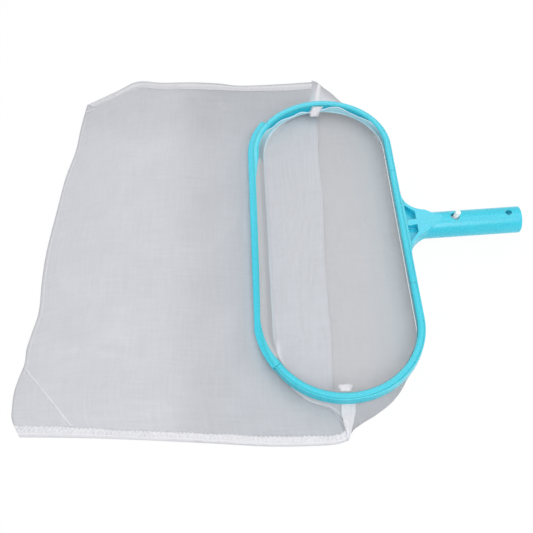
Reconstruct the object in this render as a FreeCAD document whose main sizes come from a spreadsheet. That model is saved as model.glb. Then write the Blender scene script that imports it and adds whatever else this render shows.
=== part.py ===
import FreeCAD, Part
import math
import os
from types import SimpleNamespace

import Sketcher
from FreeCAD import Placement, Rotation, Vector

# Leaf skimmer net: an oblong plastic ring on a short pole spigot, with a deep bag of fine mesh.
# Ring frame: X runs along the spigot, Y along the long side of the ring, Z up out of the mouth,
# with 0, 0, 0 in the middle of the ring at the crest of its clamp strips.
# Finished part: it lies as it does on a floor, tipped a little by the clip button under the
# spigot, with its origin at the middle of the spigot's open end.

SIZES = (
    # ring
    ("ring_length", 400.0),
    ("ring_width", 163.0),
    ("rail_width", 7.5),
    ("rail_height", 11.0),
    ("outer_wall", 1.5),
    ("inner_wall", 1.9),
    ("channel_floor", 2.5),
    ("wall_drop", 0.6),
    ("hem_ledge", 2.0),
    ("rail_round", 0.5),
    # clamp strips and front lip
    ("joint_offset", 77.0),
    ("strip_gap", 0.4),
    ("strip_clearance", 0.15),
    ("stem_clearance", 0.6),
    ("cap_thickness", 1.4),
    ("cap_overhang", 2.3),
    ("lip_reach", 6.0),
    ("lip_edge", 2.2),
    ("lip_drop", 1.0),
    ("lip_root", 6.4),
    ("lip_far_angle", 37.0),
    ("lip_near_angle", 32.0),
    ("lip_taper_start", 14.0),
    ("lip_taper_round", 100.0),
    ("lip_near_reach", 1.9),
    # hem and its cord
    ("hem_thickness", 0.36),
    ("hem_below", 0.3),
    ("hem_clearance", 0.1),
    ("cord_diameter", 1.6),
    ("tab_width", 14.0),
    ("tab_depth", 7.5),
    ("tab_thickness", 0.8),
    # web between ring and spigot
    ("web_root", 42.0),
    ("web_round", 29.3),
    ("web_neck", 21.5),
    ("web_waist", 13.8),
    ("web_nose", 38.0),
    ("pocket_wall", 1.2),
    ("pocket_reach", 9.8),
    ("pocket_depth", 6.0),
    ("pocket_long", 21.5),
    ("pocket_short", 10.0),
    ("rib_width", 7.2),
    # spigot
    ("spigot_diameter", 28.5),
    ("spigot_wall", 2.75),
    ("spigot_drop", 7.5),
    ("spigot_reach", 122.0),
    ("spigot_root", 6.0),
    ("bore_depth", 86.0),
    ("hang_hole", 7.0),
    ("hang_inset", 13.5),
    ("end_round", 0.9),
    # spring clip
    ("button_diameter", 6.0),
    ("button_height", 6.5),
    ("button_inset", 70.5),
    ("button_lead", 0.9),
    ("button_round", 1.0),
    ("button_hole", 9.2),
    ("button_collar", 7.2),
    ("collar_height", 0.8),
    ("leaf_thickness", 0.9),
    ("leaf_width", 8.0),
    ("leaf_angle", 12.0),
    ("leaf_rise", 8.6),
    ("leaf_tail", 2.5),
    ("fold_radius", 2.4),
    ("flex_gap", 0.3),
    # bag
    ("cloth", 0.7),
    ("cloth_clearance", 0.1),
    ("seam_clearance", 0.6),
    ("bag_rest", 5.5),
    ("bag_reach", 312.0),
    ("bag_puff", 9.0),
    ("puff_run", 45.0),
    ("bag_shoulder", 26.0),
    ("layer_gap", 3.5),
    ("mouth_bulge", 16.0),
    ("fall_inset", 15.0),
    ("far_corner_back", 20.0),
    ("far_corner_spread", 14.0),
    ("far_dart_length", 62.0),
    ("far_edge_spread", 66.0),
    ("far_waist_spread", 54.0),
    ("far_mouth_spread", 57.0),
    ("near_corner_back", 8.0),
    ("near_corner_spread", 15.0),
    ("near_mouth_spread", 35.0),
    ("crease_offset", 5.0),
    ("seam_flange", 4.0),
    ("seam_height", 1.6),
    ("seam_lift", 0.5),
    ("dart_width", 1.6),
    ("far_dart_reach", 24.0),
    ("near_dart_reach", 62.0),
    ("near_dart_run", 46.0),
)

doc = FreeCAD.newDocument("leaf_skimmer")
sheet = doc.addObject("Spreadsheet::Sheet", "Sheet")
for row, (alias, number) in enumerate(SIZES, start=1):
    sheet.set("A%d" % row, alias)
    sheet.set("B%d" % row, str(number))
    sheet.setAlias("B%d" % row, alias)
doc.recompute()


class Size:
    """A length with its number now and the expression that ties a feature to the sheet."""

    def __init__(self, number, text):
        self.number = float(number)
        self.text = text

    def __add__(self, other):
        other = as_size(other)
        return Size(self.number + other.number, "(%s + %s)" % (self.text, other.text))

    def __sub__(self, other):
        other = as_size(other)
        return Size(self.number - other.number, "(%s - %s)" % (self.text, other.text))

    def __mul__(self, other):
        other = as_size(other)
        return Size(self.number * other.number, "(%s * %s)" % (self.text, other.text))

    def __truediv__(self, other):
        other = as_size(other)
        return Size(self.number / other.number, "(%s / %s)" % (self.text, other.text))

    def __neg__(self):
        return as_size(0) - self

    def __radd__(self, other):
        return as_size(other) + self

    def __rsub__(self, other):
        return as_size(other) - self

    def __rmul__(self, other):
        return as_size(other) * self


def as_size(value):
    """A plain number as a Size, or the Size itself."""
    return value if isinstance(value, Size) else Size(value, repr(float(value)))


s = SimpleNamespace(**{alias: Size(getattr(sheet, alias), "Sheet." + alias) for alias, _ in SIZES})
n = SimpleNamespace(**{alias: float(getattr(sheet, alias)) for alias, _ in SIZES})

parts = []


def body(label):
    """A new body that becomes a sub-part, in the ring frame."""
    made = doc.addObject("PartDesign::Body", label)
    made.Label = label
    parts.append(made)
    return made


def sketch(owner, name, role, level=None):
    """A sketch on one of the body's own origin planes, moved along the plane's normal by level."""
    made = owner.newObject("Sketcher::SketchObject", owner.Name + "_" + name)
    plane = [f for f in owner.Origin.OriginFeatures if f.Role == role][0]
    made.AttachmentSupport = [(plane, "")]
    made.MapMode = "FlatFace"
    if level is not None:
        made.AttachmentOffset = Placement(Vector(0, 0, level.number), Rotation())
        made.setExpression("AttachmentOffset.Base.z", level.text)
    return made


def fix(made, kind, geometry, point, size):
    """Holds one coordinate of a point of the sketch at a size from the sheet."""
    index = made.addConstraint(Sketcher.Constraint(kind, -1, 1, geometry, point, size.number))
    made.setExpression("Constraints[%d]" % index, size.text)


def fix_radius(made, geometry, size):
    """Holds the radius of a circle or an arc at a size from the sheet."""
    index = made.addConstraint(Sketcher.Constraint("Radius", geometry, size.number))
    made.setExpression("Constraints[%d]" % index, size.text)


def polygon(made, corners):
    """A closed outline of straight lines through corners, each held at its two sizes."""
    corners = [(as_size(x), as_size(y)) for x, y in corners]
    first = made.GeometryCount
    count = len(corners)
    for i, (x, y) in enumerate(corners):
        to_x, to_y = corners[(i + 1) % count]
        made.addGeometry(Part.LineSegment(Vector(x.number, y.number, 0), Vector(to_x.number, to_y.number, 0)))
    for i in range(count):
        made.addConstraint(Sketcher.Constraint("Coincident", first + i, 2, first + (i + 1) % count, 1))
    for i, (x, y) in enumerate(corners):
        fix(made, "DistanceX", first + i, 1, x)
        fix(made, "DistanceY", first + i, 1, y)


def circle(made, x, y, radius):
    """A circle about a point at x, y."""
    x, y, radius = as_size(x), as_size(y), as_size(radius)
    index = made.addGeometry(Part.Circle(Vector(x.number, y.number, 0), Vector(0, 0, 1), radius.number))
    fix(made, "DistanceX", index, 3, x)
    fix(made, "DistanceY", index, 3, y)
    fix_radius(made, index, radius)


def stadium(made, inset):
    """The ring's outline, drawn in by inset: two half circles joined by straight sides."""
    radius = s.ring_width / 2 - inset
    centre = (s.ring_length - s.ring_width) / 2
    r, c = radius.number, centre.number
    far = made.addGeometry(Part.ArcOfCircle(Part.Circle(Vector(0, c, 0), Vector(0, 0, 1), r), 0, math.pi))
    left = made.addGeometry(Part.LineSegment(Vector(-r, c, 0), Vector(-r, -c, 0)))
    near = made.addGeometry(
        Part.ArcOfCircle(Part.Circle(Vector(0, -c, 0), Vector(0, 0, 1), r), math.pi, 2 * math.pi)
    )
    right = made.addGeometry(Part.LineSegment(Vector(r, -c, 0), Vector(r, c, 0)))
    for one, other in ((far, left), (left, near), (near, right), (right, far)):
        made.addConstraint(Sketcher.Constraint("Tangent", one, 2, other, 1))
    made.addConstraint(Sketcher.Constraint("Equal", far, near))
    made.addConstraint(Sketcher.Constraint("Symmetric", far, 3, near, 3, -1, 1))
    made.addConstraint(Sketcher.Constraint("PointOnObject", far, 3, -2))
    fix_radius(made, far, radius)
    fix(made, "DistanceY", far, 3, centre)


def outline(made, nodes):
    """A closed outline through nodes of x, y and the radius of the arc that leaves them.

    The radius is None for a straight line and below zero for an arc whose centre is on its right.
    """
    nodes = [(as_size(x), as_size(y), r) for x, y, r in nodes]
    count = len(nodes)
    ends = []
    for i, (x, y, radius) in enumerate(nodes):
        to_x, to_y, _ = nodes[(i + 1) % count]
        a = Vector(x.number, y.number, 0)
        b = Vector(to_x.number, to_y.number, 0)
        if radius is None:
            ends.append((made.addGeometry(Part.LineSegment(a, b)), 1, 2))
            continue
        side = 1 if radius.number > 0 else -1
        across = Vector(a.y - b.y, b.x - a.x, 0).normalize() * side
        half = (b - a).Length / 2
        centre = (a + b) / 2 + across * math.sqrt(radius.number ** 2 - half ** 2)
        first, last = (a, b) if side > 0 else (b, a)
        low = math.atan2(first.y - centre.y, first.x - centre.x)
        high = math.atan2(last.y - centre.y, last.x - centre.x)
        round_line = Part.Circle(centre, Vector(0, 0, 1), abs(radius.number))
        if high < low:
            high += 2 * math.pi
        index = made.addGeometry(Part.ArcOfCircle(round_line, low, high))
        fix_radius(made, index, radius if side > 0 else -radius)
        ends.append((index, 1, 2) if side > 0 else (index, 2, 1))
    for i, (index, start, end) in enumerate(ends):
        after, after_start, _ = ends[(i + 1) % count]
        made.addConstraint(Sketcher.Constraint("Coincident", index, end, after, after_start))
    for (x, y, _), (index, start, _) in zip(nodes, ends):
        fix(made, "DistanceX", index, start, x)
        fix(made, "DistanceY", index, start, y)


def rail_path(made, side, way, start, sweep):
    """A path along the ring's outer edge: up or down a straight side, then sweep degrees round its end.

    side is 1 for the spigot's side and -1 for the lip's, way is 1 towards the far end.
    """
    radius = s.ring_width / 2
    centre = (s.ring_length - s.ring_width) / 2
    r, c = radius.number, centre.number
    start_point, arc_point = Vector(side * r, way * start.number, 0), Vector(side * r, way * c, 0)
    line = made.addGeometry(Part.LineSegment(start_point, arc_point))
    joint = 0 if side > 0 else math.pi
    turn = side * way * math.radians(sweep.number)
    low, high = sorted((joint, joint + turn))
    end_circle = Part.Circle(Vector(0, way * c, 0), Vector(0, 0, 1), r)
    arc = made.addGeometry(Part.ArcOfCircle(end_circle, low, high))
    meet, free = (1, 2) if turn > 0 else (2, 1)
    made.addConstraint(Sketcher.Constraint("Vertical", line))
    made.addConstraint(Sketcher.Constraint("Tangent", line, 2, arc, meet))
    made.addConstraint(Sketcher.Constraint("PointOnObject", arc, 3, -2))
    fix(made, "DistanceX", line, 1, side * radius)
    fix(made, "DistanceY", line, 1, way * start)
    fix(made, "DistanceY", arc, 3, way * centre)
    reach = Size(math.cos(math.radians(sweep.number)), "cos(%s * 1deg)" % sweep.text)
    fix(made, "DistanceX", arc, free, side * radius * reach)


def pad(owner, profile, length, middle=False):
    """Adds material on the side of the sketch's normal, or half on each side."""
    made = owner.newObject("PartDesign::Pad", profile.Name + "_pad")
    made.Profile = profile
    made.Length = length.number
    made.setExpression("Length", length.text)
    made.Midplane = middle
    profile.Visibility = False
    doc.recompute()
    return made


def pocket(owner, profile, length, middle=False):
    """Cuts from the sketch against its normal, or half on each side, and makes sure that it cuts."""
    before = owner.Tip.Shape.Volume
    made = owner.newObject("PartDesign::Pocket", profile.Name + "_pocket")
    made.Profile = profile
    made.Length = length.number
    made.setExpression("Length", length.text)
    made.Midplane = middle
    profile.Visibility = False
    doc.recompute()
    if not made.Shape.Volume < before:
        raise RuntimeError(made.Name + " cuts nothing")
    return made


def pipe(owner, profile, path, name):
    """Adds the profile swept along the path."""
    made = owner.newObject("PartDesign::AdditivePipe", owner.Name + "_" + name)
    made.Profile = profile
    made.Spine = (path, [])
    profile.Visibility = False
    path.Visibility = False
    doc.recompute()
    return made


def fillet(owner, name, radius, wanted):
    """Rounds the edges of the body's tip whose every vertex and middle pass the test."""
    tip = owner.Tip
    chosen = []
    for i, edge in enumerate(tip.Shape.Edges, start=1):
        middle = edge.valueAt((edge.FirstParameter + edge.LastParameter) / 2)
        if all(wanted(p) for p in [v.Point for v in edge.Vertexes] + [middle]):
            chosen.append("Edge%d" % i)
    if not chosen:
        raise RuntimeError("no edge to round for " + name)
    made = owner.newObject("PartDesign::Fillet", owner.Name + "_" + name)
    made.Base = (tip, chosen)
    made.Radius = radius.number
    made.setExpression("Radius", radius.text)
    doc.recompute()
    return made


def inset_of(point):
    """How far a point lies inside the ring's outer edge, in plan."""
    beyond = max(0.0, abs(point.y) - (n.ring_length - n.ring_width) / 2)
    return n.ring_width / 2 - math.hypot(point.x, beyond)


def near_to(one, other, slack=0.02):
    """True where two numbers agree to a small fraction of a millimetre."""
    return abs(one - other) < slack


# Ring frame: one moulded channel all round the mouth. The outer wall stands a little below the
# strips' crest, and the inner wall lower still, where the hem passes over it.
ring = body("ring_frame")
ring_base = sketch(ring, "outline", "XY_Plane", -s.rail_height)
stadium(ring_base, as_size(0))
stadium(ring_base, s.rail_width)
pad(ring, ring_base, s.rail_height - s.wall_drop)
ring_channel = sketch(ring, "channel", "XY_Plane", -s.wall_drop)
stadium(ring_channel, s.outer_wall)
stadium(ring_channel, s.rail_width - s.inner_wall)
pocket(ring, ring_channel, s.rail_height - s.wall_drop - s.channel_floor)
ring_ledge = sketch(ring, "ledge", "XY_Plane", -s.wall_drop)
stadium(ring_ledge, s.rail_width - s.inner_wall)
stadium(ring_ledge, s.rail_width)
pocket(ring, ring_ledge, s.hem_ledge - s.wall_drop)
fillet(
    ring,
    "rounding",
    s.rail_round,
    lambda p: near_to(inset_of(p), 0)
    or (near_to(inset_of(p), n.rail_width) and near_to(p.z, -n.rail_height)),
)


# Clamp strips: pressed into the channel over the hem. A stem goes down the channel, and a
# crowned cap bridges to the inner wall.
def stem_profile(made, side):
    """The clamp strip's section at the ring's outer edge on one side, as corners to draw."""
    edge = s.ring_width / 2
    cap_out = s.outer_wall + s.strip_clearance
    stem_out = s.outer_wall + s.stem_clearance
    stem_in = s.rail_width - s.inner_wall - s.stem_clearance
    cap_in = stem_in + s.cap_overhang
    bottom = s.cord_diameter + s.hem_clearance * 2 - s.rail_height + s.channel_floor
    section = (
        (cap_out, -s.cap_thickness),
        (cap_out, -s.cap_thickness / 4),
        (stem_out, as_size(0)),
        (stem_in, as_size(0)),
        (cap_in, -s.cap_thickness * 0.6),
        (cap_in, -s.cap_thickness),
        (stem_in, -s.cap_thickness),
        (stem_in, bottom),
        (stem_out, bottom),
        (stem_out, -s.cap_thickness),
    )
    polygon(made, [(side * (edge - u), z) for u, z in section])


centre_offset = (s.ring_length - s.ring_width) / 2
gap_turn = Size(
    math.degrees(n.strip_gap / (n.ring_width / 2)),
    "(Sheet.strip_gap / Sheet.ring_width * 2 * 57.29577951308232)",
)

far_strip = body("far_clamp_strip")
far_profile = sketch(far_strip, "profile", "XZ_Plane", -s.joint_offset)
stem_profile(far_profile, 1)
far_path = sketch(far_strip, "path", "XY_Plane")
rail_path(far_path, 1, 1, s.joint_offset, 180 - s.lip_far_angle - gap_turn)
pipe(far_strip, far_profile, far_path, "run")

near_strip = body("near_clamp_strip")
near_profile = sketch(near_strip, "profile", "XZ_Plane", s.joint_offset)
stem_profile(near_profile, 1)
near_path = sketch(near_strip, "path", "XY_Plane")
rail_path(near_path, 1, -1, s.joint_offset, 180 - s.lip_near_angle - gap_turn)
pipe(near_strip, near_profile, near_path, "run")

side_strip = body("handle_side_clamp_strip")
side_profile = sketch(side_strip, "profile", "XZ_Plane")
stem_profile(side_profile, 1)
pad(side_strip, side_profile, (s.joint_offset - s.strip_gap) * 2, middle=True)

# Front lip: the scooping edge on the side away from the spigot. It clips over the outer wall,
# shares the channel with the other strips and thins out to its edge.
lip = body("front_lip_strip")
lip_profile = sketch(lip, "profile", "XZ_Plane")
lip_edge_x = -(s.ring_width / 2)
lip_stem_out = s.outer_wall + s.stem_clearance
lip_stem_in = s.rail_width - s.inner_wall - s.stem_clearance
lip_bottom = s.cord_diameter + s.hem_clearance * 2 - s.rail_height + s.channel_floor
lip_over = -s.wall_drop + s.strip_clearance
lip_section = (
    (lip_stem_in + s.cap_overhang, -s.cap_thickness),
    (lip_stem_in + s.cap_overhang, -s.cap_thickness * 0.6),
    (lip_stem_in, as_size(0)),
    (s.outer_wall, s.lip_drop * 0.3),
    (as_size(0), as_size(0)),
    (-s.lip_reach + s.lip_edge / 3, -s.lip_drop + s.lip_edge / 9),
    (-s.lip_reach, -s.lip_drop - s.lip_edge / 4),
    (-s.lip_reach, -s.lip_drop - s.lip_edge * 3 / 4),
    (-s.lip_reach + s.lip_edge / 4, -s.lip_drop - s.lip_edge),
    (-s.strip_clearance, -s.lip_root),
    (-s.strip_clearance, lip_over),
    (lip_stem_out, lip_over),
    (lip_stem_out, lip_bottom),
    (lip_stem_in, lip_bottom),
    (lip_stem_in, -s.cap_thickness),
)
polygon(lip_profile, [(lip_edge_x + u, z) for u, z in lip_section])
lip_far_path = sketch(lip, "far_path", "XY_Plane")
rail_path(lip_far_path, -1, 1, as_size(0), s.lip_far_angle)
pipe(lip, lip_profile, lip_far_path, "far_run")
lip_near_path = sketch(lip, "near_path", "XY_Plane")
rail_path(lip_near_path, -1, -1, as_size(0), s.lip_near_angle)
pipe(lip, lip_profile, lip_near_path, "near_run")

# Towards its near end the lip narrows along a shallow curve until little of it stands out.
lip_beyond = math.radians(n.lip_near_angle + 4)
lip_end_radius = s.ring_width / 2 + s.lip_near_reach
lip_end_cosine = Size(math.cos(lip_beyond), "cos((Sheet.lip_near_angle + 4) * 1deg)")
lip_end_sine = Size(math.sin(lip_beyond), "sin((Sheet.lip_near_angle + 4) * 1deg)")
lip_end_x = -(lip_end_radius * lip_end_cosine)
lip_end_y = -(lip_end_radius * lip_end_sine) - centre_offset
lip_outside = -(s.ring_width / 2 + s.lip_reach + 1)
lip_taper = sketch(lip, "taper", "XY_Plane", s.lip_drop)
outline(
    lip_taper,
    (
        (lip_outside, s.lip_taper_start - centre_offset, s.lip_taper_round),
        (lip_end_x, lip_end_y, None),
        (lip_outside, lip_end_y, None),
    ),
)
pocket(lip, lip_taper, s.rail_height)


# Web: a flat tongue that rises from the rail to the crest of the spigot, with two pockets
# either side of a middle rib.
edge_x = s.ring_width / 2
crest = s.spigot_diameter / 2 - s.spigot_drop
inside_wall = edge_x - s.outer_wall / 2
split_x = edge_x + s.pocket_wall


def web(owner):
    """The whole web, from inside the ring's outer wall to its nose."""
    plan = sketch(owner, "web", "XY_Plane", -s.rail_height)
    outline(
        plan,
        (
            (inside_wall, -s.web_root, None),
            (edge_x, -s.web_root, -s.web_round),
            (edge_x + s.web_neck, -s.web_waist, None),
            (edge_x + s.web_nose, as_size(0), None),
            (edge_x + s.web_neck, s.web_waist, -s.web_round),
            (edge_x, s.web_root, None),
            (inside_wall, s.web_root, None),
        ),
    )
    pad(owner, plan, s.rail_height + crest)


def slope(owner):
    """Cuts the web's top to its slope."""
    side_view = sketch(owner, "slope", "XZ_Plane")
    polygon(
        side_view,
        (
            (inside_wall - s.outer_wall, -s.wall_drop),
            (edge_x, -s.wall_drop),
            (edge_x + s.web_nose, crest),
            (edge_x + s.web_nose, crest * 3),
            (inside_wall - s.outer_wall, crest * 3),
        ),
    )
    pocket(owner, side_view, s.ring_length, middle=True)


def trim(owner, low_x, high_x):
    """Takes away all of the web between two places along X."""
    plan = sketch(owner, "trim", "XY_Plane", crest * 2)
    polygon(
        plan,
        (
            (low_x, -s.web_root * 1.1),
            (high_x, -s.web_root * 1.1),
            (high_x, s.web_root * 1.1),
            (low_x, s.web_root * 1.1),
        ),
    )
    pocket(owner, plan, crest * 2 + s.rail_height * 2)


# The ring keeps the root of the web, and the pole socket has the rest of the one moulding.
web(ring)
slope(ring)
trim(ring, split_x, edge_x + s.web_nose * 2)

socket = body("pole_socket")
web(socket)
spigot = sketch(socket, "spigot", "YZ_Plane", edge_x + s.spigot_root)
circle(spigot, 0, -s.spigot_drop, s.spigot_diameter / 2)
pad(socket, spigot, s.spigot_reach - s.spigot_root)
slope(socket)
trim(socket, inside_wall - s.outer_wall, split_x)
for side, name in ((1, "far_pocket"), (-1, "near_pocket")):
    hollow = sketch(socket, name, "XY_Plane", crest)
    corners = (
        (edge_x, s.rib_width / 2),
        (split_x + s.pocket_reach, s.rib_width / 2),
        (split_x + s.pocket_reach, s.rib_width / 2 + s.pocket_short),
        (split_x, s.rib_width / 2 + s.pocket_long),
        (edge_x, s.rib_width / 2 + s.pocket_long),
    )
    polygon(hollow, [(x, side * y) for x, y in corners])
    pocket(socket, hollow, crest + s.pocket_depth)
bore = sketch(socket, "bore", "YZ_Plane", edge_x + s.spigot_reach)
circle(bore, 0, -s.spigot_drop, s.spigot_diameter / 2 - s.spigot_wall)
pocket(socket, bore, s.bore_depth)
hole_x = edge_x + s.spigot_reach - s.button_inset
button_holes = sketch(socket, "button_holes", "XY_Plane", -s.spigot_drop)
circle(button_holes, hole_x, 0, s.button_hole / 2)
pocket(socket, button_holes, s.spigot_diameter * 2, middle=True)
hang_hole = sketch(socket, "hang_hole", "XY_Plane", -s.spigot_drop)
circle(hang_hole, edge_x + s.spigot_reach - s.hang_inset, 0, s.hang_hole / 2)
pocket(socket, hang_hole, s.spigot_diameter * 2, middle=True)
fillet(
    socket,
    "end_rounding",
    s.end_round,
    lambda p: near_to(p.x, n.ring_width / 2 + n.spigot_reach)
    and near_to(math.hypot(p.y, p.z + n.spigot_drop), n.spigot_diameter / 2),
)

# Hem of the bag: it goes over the low inner wall, between the cord in the channel and the
# mouth, held down by the caps of the strips.
hem = body("bag_hem")
hem_out = s.rail_width - s.inner_wall - s.hem_clearance - s.hem_thickness
hem_in = s.rail_width + s.hem_clearance + s.hem_thickness
hem_foot = s.channel_floor - s.rail_height + s.hem_clearance
hem_top = -s.hem_ledge + s.hem_clearance + s.hem_thickness
hem_bottom = -s.rail_height - s.hem_below
hem_stem = sketch(hem, "stem", "XY_Plane", hem_foot)
stadium(hem_stem, hem_out)
stadium(hem_stem, hem_out + s.hem_thickness)
pad(hem, hem_stem, hem_top - hem_foot)
hem_over = sketch(hem, "over", "XY_Plane", hem_top - s.hem_thickness)
stadium(hem_over, hem_out)
stadium(hem_over, hem_in)
pad(hem, hem_over, s.hem_thickness)
hem_fall = sketch(hem, "fall", "XY_Plane", hem_bottom)
stadium(hem_fall, hem_in - s.hem_thickness)
stadium(hem_fall, hem_in)
pad(hem, hem_fall, hem_top - hem_bottom)

part_tabs = []
cord = body("hem_cord")
cord_inset = s.outer_wall + s.hem_clearance + s.cord_diameter / 2
cord_level = s.channel_floor - s.rail_height + s.hem_clearance + s.cord_diameter / 2
cord_path = sketch(cord, "path", "XY_Plane", cord_level)
stadium(cord_path, cord_inset)
cord_profile = sketch(cord, "profile", "XZ_Plane")
circle(cord_profile, edge_x - cord_inset, cord_level, s.cord_diameter / 2)
pipe(cord, cord_profile, cord_path, "run")


for side, name in ((1, "far_seam_tab"), (-1, "near_seam_tab")):
    tab = body(name)
    tab_plan = sketch(tab, "plan", "XY_Plane", -s.rail_height + s.hem_ledge)
    half = s.tab_width / 2
    reach = centre_offset + (edge_x - hem_in) * 0.9955 - s.hem_clearance
    ends = ((-half, reach - s.tab_thickness), (half, reach - s.tab_thickness), (half, reach), (-half, reach))
    polygon(tab_plan, [(x, side * y) for x, y in ends])
    pad(tab, tab_plan, s.tab_depth)
    part_tabs.append(tab)


# Spring clip: one springy moulding bent in a V inside the spigot. Each leg carries a button that
# stands through the spigot's wall; the fold that joins them is towards the open end.
def sine(angle):
    """Sine of an angle in degrees."""
    return Size(math.sin(math.radians(angle.number)), "sin(%s * 1deg)" % angle.text)


def cosine(angle):
    """Cosine of an angle in degrees."""
    return Size(math.cos(math.radians(angle.number)), "cos(%s * 1deg)" % angle.text)


lean_sine = sine(s.leaf_angle)
lean_cosine = cosine(s.leaf_angle)
leg_length = (s.leaf_rise - s.fold_radius * lean_cosine) / lean_sine
button_length = (s.spigot_diameter / 2 + s.button_height - s.leaf_rise) / lean_cosine
wall_middle = s.spigot_diameter / 2 - s.spigot_wall / 2
button_foot = hole_x + s.button_lead - (wall_middle - s.leaf_rise) * lean_sine / lean_cosine
fold_x = button_foot + leg_length * lean_cosine - s.fold_radius * lean_sine


def clip_leg(label):
    """One leg, drawn lying back along -X from the middle of the fold, with its button up."""
    leg = body(label)
    leaf = sketch(leg, "leaf", "XZ_Plane")
    low = s.fold_radius - s.leaf_thickness / 2
    high = s.fold_radius + s.leaf_thickness / 2
    far = -(leg_length + s.button_diameter / 2 + s.leaf_tail)
    polygon(leaf, ((-s.flex_gap, low), (-s.flex_gap, high), (far, high), (far, low)))
    pad(leg, leaf, s.leaf_width, middle=True)
    collar = sketch(leg, "collar", "XY_Plane", s.fold_radius)
    circle(collar, -leg_length, 0, s.button_collar / 2)
    pad(leg, collar, s.leaf_thickness / 2 + s.collar_height)
    button = sketch(leg, "button", "XY_Plane", s.fold_radius)
    circle(button, -leg_length, 0, s.button_diameter / 2)
    pad(leg, button, button_length)
    tip = n.fold_radius + button_length.number
    fillet(leg, "rounding", s.button_round, lambda p: near_to(p.z, tip))
    return leg


upper_leg = clip_leg("upper_clip_leg")
lower_leg = clip_leg("lower_clip_leg")

fold = body("clip_fold")
fold_profile = sketch(fold, "profile", "XZ_Plane")
fold_profile_out = s.fold_radius + s.leaf_thickness / 2
fold_profile_in = s.fold_radius - s.leaf_thickness / 2
outline(
    fold_profile,
    (
        (fold_x + fold_profile_out * lean_sine, -s.spigot_drop - fold_profile_out * lean_cosine, fold_profile_out),
        (fold_x + fold_profile_out, -s.spigot_drop, fold_profile_out),
        (fold_x + fold_profile_out * lean_sine, -s.spigot_drop + fold_profile_out * lean_cosine, None),
        (fold_x + fold_profile_in * lean_sine, -s.spigot_drop + fold_profile_in * lean_cosine, -fold_profile_in),
        (fold_x + fold_profile_in, -s.spigot_drop, -fold_profile_in),
        (fold_x + fold_profile_in * lean_sine, -s.spigot_drop - fold_profile_in * lean_cosine, None),
    ),
)
pad(fold, fold_profile, s.leaf_width, middle=True)

# Where everything lies: the ring rests on the flattened bag at its lip, and on the lower button.
drop_at_button = s.spigot_drop + s.spigot_diameter / 2 + s.button_height
tilt_rise = drop_at_button - s.rail_height - s.bag_rest
tilt_run = hole_x + s.button_lead + edge_x + s.lip_reach
tilt = Size(
    math.degrees(math.atan2(tilt_rise.number, tilt_run.number)),
    "(atan2(%s; %s) / 1deg)" % (tilt_rise.text, tilt_run.text),
)
tip_x = fold_x - leg_length * lean_cosine + (s.fold_radius + button_length) * lean_sine
tip_z = -s.spigot_drop - leg_length * lean_sine - (s.fold_radius + button_length) * lean_cosine
lean = s.leaf_angle + tilt
corner_drop = (s.button_diameter / 2 - s.button_round) * sine(lean)
corner_drop = corner_drop + s.button_round - s.button_round * cosine(lean)
lift = corner_drop - tip_x * sine(tilt) - tip_z * cosine(tilt)
end_x = (edge_x + s.spigot_reach) * cosine(tilt) + s.spigot_drop * sine(tilt)
end_z = (edge_x + s.spigot_reach) * sine(tilt) - s.spigot_drop * cosine(tilt) + lift


def place(part, x, z, turn, flip=False):
    """Lays a part down: a point of the ring frame becomes its origin, turned about the Y axis."""
    at_x = x * cosine(tilt) - z * sine(tilt) - end_x
    at_z = x * sine(tilt) + z * cosine(tilt) + lift - end_z
    swing = Rotation(Vector(0, 1, 0), turn.number)
    turned_over = Rotation(Vector(1, 0, 0), 180 if flip else 0)
    part.Placement = Placement(Vector(at_x.number, 0, at_z.number), swing * turned_over)
    part.setExpression("Placement.Base.x", at_x.text)
    part.setExpression("Placement.Base.z", at_z.text)


for part in [ring, socket, far_strip, near_strip, side_strip, lip, hem, cord, fold] + part_tabs:
    place(part, as_size(0), as_size(0), -tilt)
place(upper_leg, fold_x, -s.spigot_drop, s.leaf_angle - tilt)
place(lower_leg, fold_x, -s.spigot_drop, -s.leaf_angle - tilt, flip=True)


# Bag: one cloth of fine mesh, folded at the closed end and sewn up both sides. It lies flat on
# the floor with its mouth end drawn under the ring. The two layers and the two parts that rise to
# the hem are curved sheets, drawn from a net of points that come from the sizes.
def lay_point(x, y, z):
    """A point of the ring frame where it lies, still measured from under the ring's middle."""
    t = math.radians(tilt.number)
    return Vector(x * math.cos(t) - z * math.sin(t), y, x * math.sin(t) + z * math.cos(t) + lift.number)


def through(points, count):
    """Points spaced along a smooth curve through the given ones, from its start to its end."""
    curve = Part.BSplineCurve()
    curve.interpolate([Vector(*p) for p in points])
    return curve.discretize(Number=count)


half_length = n.ring_length / 2
near_corner = (-n.bag_reach + n.near_corner_back, -(half_length + n.near_corner_spread - n.seam_flange), 0)
far_corner = (-n.bag_reach + n.far_corner_back, half_length + n.far_corner_spread - n.seam_flange, 0)
near_end = (-n.crease_offset, -(half_length + n.near_mouth_spread - n.seam_flange), 0)
far_end = (0, half_length + n.far_mouth_spread - n.seam_flange, 0)
far_shoulder = (far_corner[0] + n.far_dart_length, half_length + n.far_edge_spread - n.seam_flange, 0)
far_waist = (-n.bag_reach / 3, half_length + n.far_waist_spread - n.seam_flange, 0)
STEPS = 41
closed_edge = through(
    (near_corner, (-n.bag_reach - 3, -half_length * 0.8, 0), (-n.bag_reach, 0, 0), far_corner), STEPS
)
mouth_edge = through((near_end, (-2 * n.crease_offset, -half_length / 2, 0), far_end), STEPS)
near_edge = through((near_corner, near_end), STEPS)
far_edge = through((far_corner, far_shoulder, far_waist, far_end), STEPS)


def on_edge(edge, share):
    """The point a share of the way along an edge."""
    at = share * (STEPS - 1)
    i = min(int(at), STEPS - 2)
    return edge[i] + (edge[i + 1] - edge[i]) * (at - i)


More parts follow.
